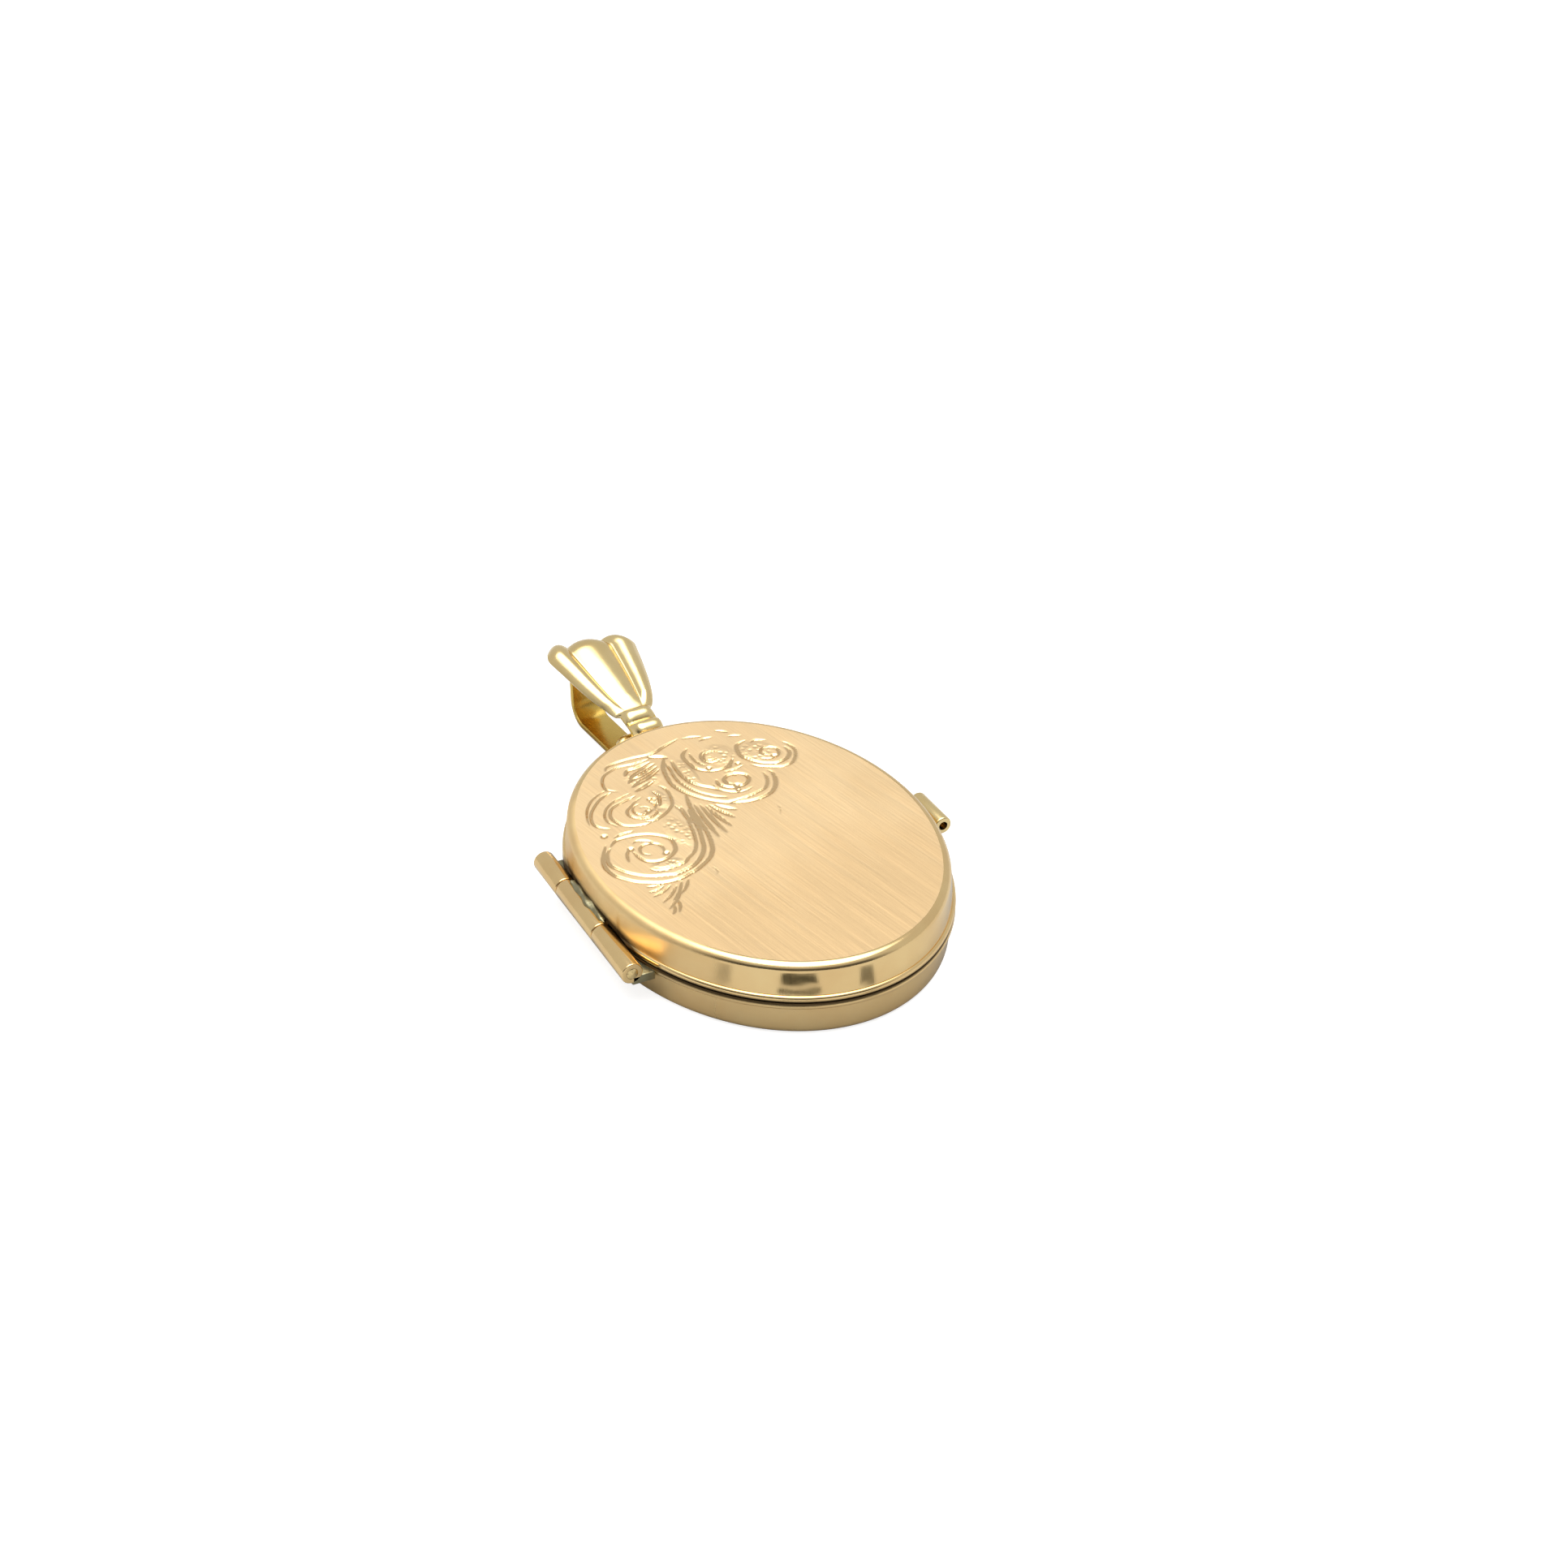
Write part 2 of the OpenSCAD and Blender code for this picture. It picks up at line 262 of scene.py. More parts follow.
# %% Helper: a finish
class Finish:
    def __init__(self, owner):
        owner.use_nodes = True
        self.owner, self.tree = owner, owner.node_tree
        self.tree.nodes.clear()

    def node(self, kind, settings=None, sockets=None):
        """Adds a node, sets its settings first, then feeds its sockets."""
        made = self.tree.nodes.new(kind)
        for key, value in (settings or {}).items():
            if key == "stops":
                self.stops(made.color_ramp, value)
            else:
                setattr(made, key, value)
        for key, value in (sockets or {}).items():
            self.feed(made.inputs[key], value)
        return made

    def feed(self, socket, value):
        if isinstance(value, Value):
            self.tree.links.new(value.socket, socket)
        else:
            socket.default_value = value

    def stops(self, ramp, stops):
        while len(ramp.elements) < len(stops):
            ramp.elements.new(0.5)
        for element, (place, shade) in zip(ramp.elements, stops):
            element.position = place
            element.color = (shade, shade, shade, 1)

    def out(self, node, socket=0):
        return Value(self.tree, node.outputs[socket])

    def mix(self, factor, first, second):
        """A colour between two colours."""
        made = self.node("ShaderNodeMix", {"data_type": "RGBA"}, {0: factor, 6: first, 7: second})
        return Value(self.tree, made.outputs[2])

    def millimetres(self):
        """The piece's own x, y and z in millimetres."""
        parts = self.node("ShaderNodeSeparateXYZ", None, {"Vector": self.place()})
        return [self.out(parts, axis) for axis in "XYZ"]

    def place(self, turn_deg=0.0, stretch=(1, 1, 1)):
        """The piece's own coordinates, turned about Z and stretched."""
        coords = self.out(self.node("ShaderNodeTexCoord"), "Object")
        turned = self.node("ShaderNodeMapping", {"vector_type": "TEXTURE"},
                           {"Vector": coords, "Rotation": (0, 0, math.radians(turn_deg)),
                            "Scale": tuple(MM * s for s in stretch)})
        return self.out(turned)

    def noise(self, where, detail=3.0, scale=1.0):
        made = self.node("ShaderNodeTexNoise", None,
                         {"Vector": where, "Scale": scale, "Detail": detail, "Roughness": 0.55})
        return self.out(made, "Fac")

    def ramp(self, value, *stops):
        return self.out(self.node("ShaderNodeValToRGB", {"stops": stops}, {"Fac": value}))

    def attribute(self, name):
        return self.out(self.node("ShaderNodeAttribute", {"attribute_name": name}), "Fac")

    def bump(self, height, strength, depth, under=None):
        sockets = {"Height": height, "Strength": strength, "Distance": depth * MM}
        if under is not None:
            sockets["Normal"] = under
        return self.out(self.node("ShaderNodeBump", None, sockets))

    def surface(self, **sockets):
        """The finish's shader, with each socket given by its name."""
        named = {key.replace("_", " "): value for key, value in sockets.items()}
        shader = self.node("ShaderNodeBsdfPrincipled", None, named)
        self.node("ShaderNodeOutputMaterial", None, {"Surface": self.out(shader)})
        return self.owner

def new_finish(name):
    return Finish(bpy.data.materials.new(name))

# %% [markdown]
# ## Gold finishes
# All the gold is one alloy, and only its surface differs; the inner pieces get a darker, deeper copy of it
# as painted shade. Colour drifts a little over a worn piece, so a slow noise mixes two tones. A brushed face
# gets long fine streaks, a polished wall only faint waves and hairlines.

# %% Painted shade round the hinge and in the seam
HOLLOW_R = 0.86
HOLLOW_FADE = 0.22
SEAM_REACH = 0.14
SEAM_THINS = 0.008
DULL_FROM_X = -4.6
DULL_FADE = 1.4
# The colour of the painted shade.
PAINTED_SHADE = (0.03, 0.014, 0.005, 1)

def painted_shade_mask(finish, where):
    """Painted shade round the hinge tubes, and in the groove of the seam too, where shade falls between the
    parts.
    """
    x, y, z = finish.millimetres()
    from_hinge = ((x - HINGE_X) * (x - HINGE_X) + (z - HINGE_Z) * (z - HINGE_Z)).sum_root()
    mask = ((HOLLOW_R - from_hinge) / HOLLOW_FADE).clamped()
    if where == "seam":
        reach = SEAM_REACH - SEAM_THINS * x
        off = (z - 0.5 * (SEAM + FRONT_SEAM)).size()
        mask = (mask + (1.6 * (reach - off) / reach).clamped()).clamped()
    return mask

def hinge_side(finish):
    """How near a spot is to the hinge: the wall there is never buffed to a mirror."""
    x = finish.millimetres()[0]
    return ((DULL_FROM_X - x) / DULL_FADE).clamped()

# %% Polished gold
CLOUD = 2.2
WAVE = 0.02

def polished_gold(name, light, deep, roughness, painted_shade_at=None):
    """Gold with a buffed surface: slow tone drift, faint polishing waves and fine hairlines."""
    finish = new_finish(name)
    drift = finish.ramp(finish.noise(finish.place(stretch=(CLOUD,) * 3)), (0.3, 0.0), (0.7, 1.0))
    colour = finish.mix(drift, light, deep)
    hairs = finish.noise(finish.place(25, (0.03, 0.9, 0.9)), 4.0)
    waves = finish.noise(finish.place(stretch=(1.1, 1.1, 0.8)), 1.0)
    rough = roughness * (0.75 + 0.5 * hairs)
    # Painted shade: the colour darkens round the hinge tubes and in the seam's groove, where shade falls
    # between the parts.
    if painted_shade_at:
        mask = painted_shade_mask(finish, painted_shade_at)
        colour = finish.mix(0.94 * mask, colour, PAINTED_SHADE)
        rough = rough + 0.35 * mask
        if painted_shade_at == "hinge":
            rough = rough + 0.3 * hinge_side(finish)
    normal = finish.bump(waves + 0.12 * hairs, 0.5, WAVE)
    return finish.surface(Base_Color=colour, Metallic=1.0, Roughness=rough, Normal=normal)

BUFFED = ((0.93, 0.69, 0.34, 1), (0.86, 0.60, 0.28, 1), 0.12)
gold_polished = polished_gold("gold_polished", *BUFFED)
gold_shell = polished_gold("gold_shell", *BUFFED, painted_shade_at="hinge")
gold_rim = polished_gold("gold_rim", *BUFFED, painted_shade_at="seam")
gold_bail = polished_gold("gold_bail", (0.90, 0.71, 0.36, 1), (0.83, 0.62, 0.28, 1), 0.2)
# Painted shade: a darker, deeper copy of the gold for the strap, the picture frames and the lip, as gold looks
# in the shade inside.
gold_inner = polished_gold("gold_inner", (0.84, 0.60, 0.16, 1), (0.68, 0.44, 0.09, 1), 0.26)
print("polished gold finishes made")

# %% Satin gold with bright-cut grooves
BRUSHED_TILT = 11
# How far up from the lower end the painted shade reaches, in millimetres.
LOW_SHADE_REACH = 9
SATIN_DEPTH = 0.02

def satin_gold(name, engraved):
    """Brushed gold. On the engraved face the cut attribute says where a groove is polished and where its colour
    is darkened as painted shade.
    """
    finish = new_finish(name)
    streaks = finish.noise(finish.place(BRUSHED_TILT, (0.11, 3.5, 1.0)), 4.0)
    broad = finish.noise(finish.place(BRUSHED_TILT, (0.4, 8.0, 2.0)), 3.0)
    drift = finish.noise(finish.place(stretch=(3.2, 3.8, 5.0)), 2.0)
    # Painted shade: the colour darkens towards the face's lower end, at negative y.
    y = finish.millimetres()[1]
    low_end_shade = (-1 * y / LOW_SHADE_REACH).clamped()
    tone = (0.5 * finish.ramp(drift, (0.3, 0.0), (0.7, 1.0)) + 0.9 * (broad - 0.35) + 0.5 * (streaks - 0.4)
            + 0.95 * low_end_shade).clamped()
    colour = finish.mix(tone, (0.97, 0.73, 0.42, 1), (0.84, 0.60, 0.32, 1))
    rough = 0.30 + 0.14 * streaks + 0.12 * broad
    height = streaks + 0.8 * broad
    if engraved:
        cut_here = finish.attribute("cut").clamped()
        punched = finish.attribute("punched")
        dots = finish.node("ShaderNodeTexVoronoi", {"feature": "F1"},
                           {"Vector": finish.place(stretch=(0.26, 0.26, 0.26)), "Scale": 1.0,
                            "Randomness": 0.85})
        dimple = finish.ramp(finish.out(dots, "Distance"), (0.1, 0.0), (0.55, 1.0))
        # Painted shade: the grooves and the punched pits get a darker colour, where shade falls in them; the
        # lower roughness and the bumps are the real polish and punching.
        shade = (0.45 * cut_here + 0.3 * punched * (1 - dimple)).clamped()
        colour = finish.mix(shade, colour, (0.76, 0.49, 0.21, 1))
        rough = rough * (1 - 0.62 * cut_here)
        fine = finish.bump(height * (1 - cut_here), 0.5, SATIN_DEPTH)
        normal = finish.bump(dimple * punched, 0.8, 0.05, fine)
    else:
        normal = finish.bump(height, 0.5, SATIN_DEPTH)
    return finish.surface(Base_Color=colour, Metallic=1.0, Roughness=rough, Normal=normal)

gold_satin = satin_gold("gold_satin", False)
gold_engraved = satin_gold("gold_engraved", True)
print("satin gold finishes made")

# %% Solder, card and window
def solder_finish():
    finish = new_finish("solder")
    drift = finish.noise(finish.place(stretch=(0.25, 0.25, 0.25)), 4.0)
    colour = finish.mix(drift, (0.40, 0.38, 0.24, 1), (0.20, 0.17, 0.09, 1))
    return finish.surface(Base_Color=colour, Metallic=1.0, Roughness=0.3 + 0.2 * drift,
                          Normal=finish.bump(drift, 0.6, 0.03))

def card_finish():
    finish = new_finish("card")
    fibres = finish.noise(finish.place(stretch=(0.12, 0.35, 0.2)), 5.0)
    colour = finish.mix(fibres, (0.86, 0.83, 0.74, 1), (0.78, 0.74, 0.63, 1))
    return finish.surface(Base_Color=colour, Roughness=0.75 + 0.15 * fibres,
                          Normal=finish.bump(fibres, 0.4, 0.01))

def window_finish():
    finish = new_finish("window")
    smears = finish.noise(finish.place(20, (0.6, 2.5, 1.0)), 3.0)
    return finish.surface(Base_Color=(0.93, 0.95, 0.96, 1), Roughness=0.05 + 0.1 * smears,
                          Alpha=0.16 + 0.06 * smears, Normal=finish.bump(smears, 0.2, 0.01))

solder = solder_finish()
card_paper = card_finish()
window_film = window_finish()
print("solder, card and window finishes made")

# %% [markdown]
# ## The two pressed covers
# Each cover is a shallow tray pressed from 0.3 mm sheet, with a wall that leans in a little and a rounded
# edge. A section with an inside and an outside is turned, so the tray is hollow. Each tray has a shallow seat
# for its flat face, which is a plate of its own because the engraved one needs far more faces than the walls.

# %% Section of a cover
def tray_section(depth):
    """(inset, height over the seam) points round a cover's section."""
    edge = arc((FACE_IN, depth - EDGE_R), EDGE_R, 180, 90, 14)
    inner_r = EDGE_R - EDGE_THIN
    inside = arc((WALL_IN + inner_r, depth - SHEET - inner_r), inner_r, 90, 180, 6)
    middle = HALF_H - NEAR_MIDDLE
    wall = [(RIM_PROUD, 0), (RIM_PROUD, RIM_H)]
    seat = [(FACE_IN, depth - PLATE_T), (middle, depth - PLATE_T), (middle, depth - SHEET)]
    return wall + edge + seat + inside + [(WALL_IN, 0)]

# %% Turn the front and the back
for body, base, up, depth, room_cut in (("front", FRONT_SEAM, 1, TOP - FRONT_SEAM, front_room),
                                        ("back", SEAM, -1, SEAM, back_room)):
    bm = oval_ring([(inset, base + up * height) for inset, height in tray_section(depth)])
    shell = piece(bm, body + "_shell", body, gold_shell, [body + "_cover"])
    cut(shell, room_cut)

# %% [markdown]
# ## The engraved face
# The scrolls are cut by hand with a polished graver, two lines side by side, and the ground between them is
# punched. Grooves need real depth, so the face is a fine grid pressed down along each stroke. A square
# grid is squeezed into the oval, which keeps its cells even and lets its border follow the rim. Each
# stroke is a smooth line through a few points of the design, in millimetres from the middle of the face.

# %% Smooth strokes
def smooth_line(points, per_span=8):
    """A smooth line through the points of a stroke."""
    knots = np.array([points[0], *points, points[-1]], float)
    line = []
    for before, start, end, after in zip(knots, knots[1:], knots[2:], knots[3:]):
        for t in np.arange(per_span) / per_span:
            line.append(0.5 * (2 * start + (end - before) * t
                               + (2 * before - 5 * start + 4 * end - after) * t ** 2
                               + (3 * start - before - 3 * end + after) * t ** 3))
    line.append(knots[-1])
    return np.array(line)

def scroll(centre, start_r, end_r, start_deg, turns, squash=1.0, count=26):
    """Points of a spiral that winds in from start_r to end_r."""
    points = []
    for i in range(count + 1):
        share = i / count
        angle = math.radians(start_deg) + math.tau * turns * share
        radius = start_r + (end_r - start_r) * share ** 0.85
        points.append((centre[0] + radius * math.cos(angle), centre[1] + squash * radius * math.sin(angle)))
    return points

# %% The design: lower scroll
THIN, LINE, BOLD = 0.13, 0.16, 0.21
design = []

def stroke(points, width=LINE, depth=0.065, taper=0.35):
    """Adds one graver stroke. taper is the share of each end over which it runs out."""
    design.append((smooth_line(points), width, depth, taper))

def fan(cuts, bow, width, depth, taper):
    """Strokes between two ends each, (x, y, x, y), with their middles moved aside by the bow."""
    for x0, y0, x1, y1 in cuts:
        middle = ((x0 + x1) / 2 + bow[0], (y0 + y1) / 2 + bow[1])
        stroke([(x0, y0), middle, (x1, y1)], width, depth, taper)

stroke([(-5.9, 1.75), (-5.5, 2.1), (-5, 2.15), (-4.5, 2.1), (-4, 1.9), (-3.6, 1.55), (-3.4, 1.2),
        (-3.4, 0.9), (-3.5, 0.5), (-3.7, 0.25), (-4, 0.05), (-4.3, -0.05), (-4.7, 0), (-5, 0.2),
        (-5.15, 0.6), (-5.2, 1.1)], BOLD, taper=0.1)
stroke(scroll((-4.5, 0.85), 0.62, 0.34, -60, 0.9), LINE)
stroke([(-4.95, 1.6), (-4.7, 1.7), (-4.3, 1.5), (-4.1, 1.1)])
stroke([(-5.2, 1.35), (-5.5, 0.95), (-5.65, 0.4)])
stroke([(-5.5, 2.3), (-5.1, 2.45), (-4.5, 2.45)], THIN)
stroke([(-6, 2), (-6.35, 1.4), (-6.6, 0.9), (-6.7, 0.4), (-6.6, -0.2), (-6.35, -0.6), (-6, -1),
        (-5.6, -1.25), (-5.1, -1.5), (-4.6, -1.6), (-4.1, -1.55), (-3.7, -1.4), (-3.3, -1.25), (-2.6, -0.8),
        (-2.2, -0.3), (-2, 0.2), (-1.85, 0.8), (-1.75, 1.4), (-1.7, 2), (-1.65, 2.6), (-1.55, 3.3),
        (-1.3, 4.2)], BOLD, 0.08, 0.08)
stroke([(-5.9, 1.7), (-6.25, 1.3), (-6.45, 0.6), (-6.2, 0), (-6, -0.3), (-5.6, -0.7), (-5.2, -0.95),
        (-4.7, -1.1), (-4.3, -1.2), (-3.8, -1.1), (-3.3, -0.92), (-2.75, -0.45), (-2.4, 0.1), (-2.2, 0.7),
        (-2.05, 1.2), (-1.92, 1.9), (-1.85, 2.4), (-1.75, 3)], BOLD, 0.08, 0.08)
stroke([(-5.1, -0.4), (-4.9, -0.65), (-4.5, -0.75), (-4.1, -0.7), (-3.6, -0.6), (-3.3, -0.35), (-2.9, -0.05),
        (-2.6, 0.4), (-2.45, 0.8), (-2.3, 1.3), (-2.2, 1.8), (-2.1, 2.3), (-2.05, 2.9), (-2.2, 3.6)],
       LINE, taper=0.12)
print(len(design), "strokes in the lower scroll")

# %% The design: fans of tapered cuts
fan(((-4.95, -1.55, -5.78, -1.56), (-5.1, -1.75, -5.85, -1.95), (-4.81, -1.82, -5.82, -2.3),
     (-4.6, -1.95, -5.65, -2.85), (-4.29, -1.75, -5.2, -2.9), (-4.5, -2.2, -5.62, -3.38),
     (-3.96, -1.7, -4.75, -2.6), (-5, -2.8, -5.32, -3.72), (-5.3, -3.1, -5.62, -3.75)),
    (0.07, -0.05), 0.14, 0.06, 0.3)
fan(((-1.95, 3.3, -2.05, 1.9), (-1.62, 3.2, -1.85, 1.1), (-1.35, 3.25, -1.5, 0.45), (-1.15, 3.1, -1.05, 0.6),
     (-0.98, 2.9, -0.66, 0.98), (-0.82, 2.9, -0.25, 1.5), (-0.6, 2.8, 0.1, 2)),
    (-0.05, 0), 0.24, 0.08, 0.35)
fan(((1.74, 1.73, 1.56, 0.88), (-2.75, -1.4, -2.8, -2)), (0.12, 0), 0.07, 0.02, 0.4)

# %% The design: leaf along the edge
stroke([(0.3, 8.3), (-0.6, 7.95), (-1, 7.75), (-1.5, 7.65), (-2.2, 7.7), (-3, 7.65), (-3.5, 7.5),
        (-3.7, 7.2)], BOLD, taper=0.2)
stroke([(-1.5, 7.35), (-2.3, 7.25), (-3, 7.3), (-3.5, 7.15), (-3.9, 6.9), (-4.15, 6.5), (-4.25, 6.1),
        (-4.2, 5.8), (-3.85, 5.5)], taper=0.15)
stroke([(-4.1, 5.6), (-4.6, 5.4), (-4.9, 5.2), (-5.3, 4.8), (-5.6, 4.4), (-5.8, 3.9), (-5.8, 3.5),
        (-5.6, 3.2), (-5.3, 3)], taper=0.12)
stroke([(-4.2, 5.85), (-4.5, 5.75), (-5.1, 5.4), (-5.6, 4.8), (-5.9, 4.1), (-6, 3.6)], THIN)
for hatch in (((-3.1, 6.5), (-2.8, 6.85), (-2.3, 6.9), (-1.6, 7.1)), ((-3, 6.25), (-2.5, 6.5), (-1.5, 6.9)),
              ((-3.2, 5.9), (-2.9, 6.15), (-2.4, 6.25), (-1.5, 6.65)),
              ((-3.2, 5.55), (-2.7, 5.8), (-2.2, 6), (-1.5, 6.4)),
              ((-3.2, 5.2), (-2.6, 5.4), (-2.1, 5.65)), ((-1.6, 7.5), (-1.1, 7.3), (-0.8, 7))):
    stroke(hatch, 0.26, 0.08, 0.3)
print(len(design), "strokes with the leaf")

# %% The design: middle scroll
stroke([(-3.4, 5.2), (-3.9, 5.05), (-4.4, 4.85), (-4.85, 4.5), (-5.15, 4), (-5.2, 3.5), (-4.95, 3)], THIN)
stroke([(-3.3, 4.9), (-3.8, 4.75), (-4.5, 4.5), (-4.8, 4.2), (-4.95, 3.8), (-4.9, 3.4), (-4.7, 3),
        (-4.2, 2.75), (-3.6, 2.7)], taper=0.1)
stroke([(-3.1, 4.7), (-3.5, 4.5), (-3.8, 4.25), (-4.1, 4), (-4.2, 3.7), (-4.1, 3.4), (-3.8, 3.15),
        (-3.4, 3.1), (-3.05, 3.3), (-2.95, 3.6)])
stroke([(-3, 4.3), (-2.9, 4.1), (-2.85, 3.9), (-3, 3.6)])
stroke([(-2.55, 4.9), (-2.45, 4.5), (-2.55, 4.1), (-2.75, 3.7)])
stroke([(-2.1, 5.2), (-1.95, 4.8), (-2, 4.2), (-2.2, 3.6), (-2.6, 3.2), (-3, 2.95), (-3.4, 2.8),
        (-3.8, 2.9)], taper=0.12)
stroke(scroll((-3.5, 3.75), 0.5, 0.2, 80, 1.1), THIN)

# %% The design: large scroll of the right side
stroke([(-0.9, 7.2), (-1.15, 6.75), (-1.35, 6.3), (-1.5, 5.6), (-1.55, 5), (-1.4, 4.4), (-1.15, 3.9),
        (-0.8, 3.4), (-0.4, 3), (0.1, 2.65), (0.8, 2.4), (1.4, 2.4), (2, 2.6), (2.4, 3), (2.65, 3.5),
        (2.75, 4), (2.65, 4.3)], BOLD, 0.08, 0.08)
stroke([(-0.75, 6.8), (-0.85, 6.2), (-0.88, 5.6), (-0.85, 5.3), (-0.75, 4.8), (-0.5, 4.4), (-0.1, 4),
        (0.3, 3.5)], BOLD, 0.08, 0.15)
stroke([(-1.1, 6.9), (-1.1, 6.2), (-1.2, 5.4), (-1.1, 4.7), (-0.8, 4), (-0.3, 3.4), (0.2, 3.05)],
       taper=0.15)
stroke([(-0.6, 2.95), (0, 2.75), (0.5, 2.72), (1, 2.75), (1.6, 2.9), (1.95, 3.05), (2.25, 3.45),
        (2.4, 3.9), (2.42, 4.25)], taper=0.12)
stroke(scroll((1.05, 4.2), 0.82, 0.4, 150, 1.25, 0.85), BOLD, 0.075, 0.1)
stroke([(0.05, 4.3), (0.1, 3.8), (0.45, 3.4), (1, 3.2), (1.5, 3.35)])

# %% The design: top scrolls
stroke([(0.3, 7.4), (-0.1, 7), (-0.2, 6.6), (-0.15, 6.2), (-0.1, 5.8), (0.1, 5.5), (0.5, 5.25), (0.95, 5.2),
        (1.4, 5.4), (1.75, 5.8)], BOLD, taper=0.12)
stroke([(0.9, 6.95), (0.6, 6.65), (0.5, 6.25), (0.7, 5.9), (1.1, 5.85)])
stroke(scroll((0.95, 6.3), 0.5, 0.22, 20, 0.8), THIN)
stroke([(0.2, 7), (0.15, 6.5), (0.25, 6), (0.45, 5.7)], THIN)
stroke([(2.9, 6.9), (2.4, 6.7), (2.2, 6.3), (2.15, 5.8), (2.3, 5.4), (2.6, 5), (3, 4.72), (3.4, 4.62),
        (3.9, 4.8), (4.2, 5.2), (4.2, 5.7)], BOLD, taper=0.1)
stroke([(2.2, 5), (2.5, 4.7), (3, 4.4), (3.4, 4.25), (3.9, 4.35), (4.3, 4.8), (4.5, 5.3), (4.42, 5.8),
        (4.3, 6.1)], taper=0.12)
stroke(scroll((3.35, 5.6), 0.62, 0.25, -150, 1.1), LINE)
stroke([(3, 6.6), (3.3, 6.72), (3.7, 6.5)], THIN)
stroke([(1.9, 5.1), (1.4, 4.95), (0.9, 4.95)], THIN)
fan(((0.4, 8.2, 1.3, 8), (1, 7.7, 1.7, 7.75), (2, 8.2, 2.5, 7.8), (2.3, 7.5, 2.9, 7.3)),
    (0, 0.06), 0.2, 0.045, 0.45)
print(len(design), "strokes in all")

# %% The design: bright dots and punched ground
dots = [(-5.2, 1.25, 0.16), (-4, 0.35, 0.16), (-5.8, 2.6, 0.17), (-3.3, 3.6, 0.16), (1.25, 4.6, 0.16),
        (0.95, 3.75, 0.18), (0.85, 3.42, 0.14), (0.45, 5.5, 0.15), (1.3, 5.28, 0.14), (1.75, 5.3, 0.14),
        (3.45, 5.2, 0.15), (-2.9, 4.4, 0.12)]
ground = [(-2.85, 1.6, 0.55, 1.25), (-4.3, -0.35, 0.75, 0.28), (-2.5, 4.2, 0.4, 0.8), (-3.3, 3.3, 0.7, 0.35),
          (1.35, 6.3, 0.7, 0.9), (2.9, 5.9, 0.8, 0.8), (-2.4, 6.2, 0.9, 0.9), (-0.5, 5.6, 0.3, 1.1)]

# %% Press the grooves into the face
def face_grid(columns=260, rows=345):
    """A fine grid squeezed into the oval of the face."""
    bm = bmesh.new()
    bmesh.ops.create_grid(bm, x_segments=columns, y_segments=rows, size=1)
    for corner in bm.verts:
        x, y = corner.co.x, corner.co.y
        x -= 0.22 * (1 - x * x)
        y += 0.18 * (1 - y * y)
        corner.co.x = (HALF_W - FACE_IN) * x * math.sqrt(1 - y * y / 2)
        corner.co.y = (HALF_H - FACE_IN) * y * math.sqrt(1 - x * x / 2)
    return bm

def groove_depths(spots):
    """How deep each spot of the face is cut, in millimetres."""
    depth = np.zeros(len(spots))
    for line, width, deepest, taper in design:
        near = np.nonzero(((spots > line.min(0) - width) & (spots < line.max(0) + width)).all(1))[0]
        length = np.concatenate([[0], np.cumsum(np.hypot(*np.diff(line, axis=0).T))])
        best = np.full(len(near), 1e9)
        along = np.zeros(len(near))
        for i, (a, b) in enumerate(zip(line, line[1:])):
            span = b - a
            size = max(span @ span, 1e-12)
            t = np.clip((spots[near] - a) @ span / size, 0, 1)
            away = np.hypot(*(spots[near] - a - t[:, None] * span).T)
            closer = away < best
            best[closer] = away[closer]
            along[closer] = ((length[i] + t * math.sqrt(size)) / length[-1])[closer]
        ends = np.minimum(along, 1 - along) / taper
        swell = np.clip(ends, 0.0, 1) ** 0.6
        half = 0.5 * width * (0.35 + 0.65 * swell) + 1e-6
        here = deepest * swell * np.clip(1 - best / half, 0, 1)
        depth[near] = np.maximum(depth[near], here)
    return depth

# %% Make the face
DOT_DEPTH = 0.07
BRIGHT_FROM = 0.02
bm = face_grid()
spots = np.array([(v.co.x, v.co.y) for v in bm.verts])
depth = groove_depths(spots)
for x, y, radius in dots:
    away = np.hypot(spots[:, 0] - x, spots[:, 1] - y) / radius
    depth = np.maximum(depth, DOT_DEPTH * np.clip(1 - away ** 2, 0, 1))
punched = np.zeros(len(spots))
for x, y, half_x, half_y in ground:
    away = np.hypot((spots[:, 0] - x) / half_x, (spots[:, 1] - y) / half_y)
    punched = np.maximum(punched, np.clip(2.2 * (1 - away), 0, 1))
# The cut attribute marks the grooves: it polishes them and darkens their colour as painted shade.
bright = np.clip(depth / BRIGHT_FROM, 0, 1)
cut_layer = bm.verts.layers.float.new("cut")
punched_layer = bm.verts.layers.float.new("punched")
for corner, down, shine, rough in zip(bm.verts, depth, bright, punched):
    corner.co.z = TOP - down
    corner[cut_layer] = shine
    corner[punched_layer] = rough * (1 - shine)
border = [edge for edge in bm.edges if edge.is_boundary]
skirt = bmesh.ops.extrude_edge_only(bm, edges=border)["geom"]
for corner in only(skirt, CORNER):
    corner.co.z = TOP - PLATE_T
bmesh.ops.contextual_create(bm, geom=[edge for edge in only(skirt, EDGE) if edge.is_boundary])
print(f"deepest cut {depth.max():.3f} mm, {int((depth > 0).sum())} corners cut")
piece(bm, "front_engraved_face", "front", gold_engraved, sharp=60)

# %% [markdown]
# ## The plain back
# The back's face is the same satin plate without engraving. It is flat, so one disc pushed into the oval and
# drawn up by the plate's thickness is enough, where the engraved face needs its fine grid.

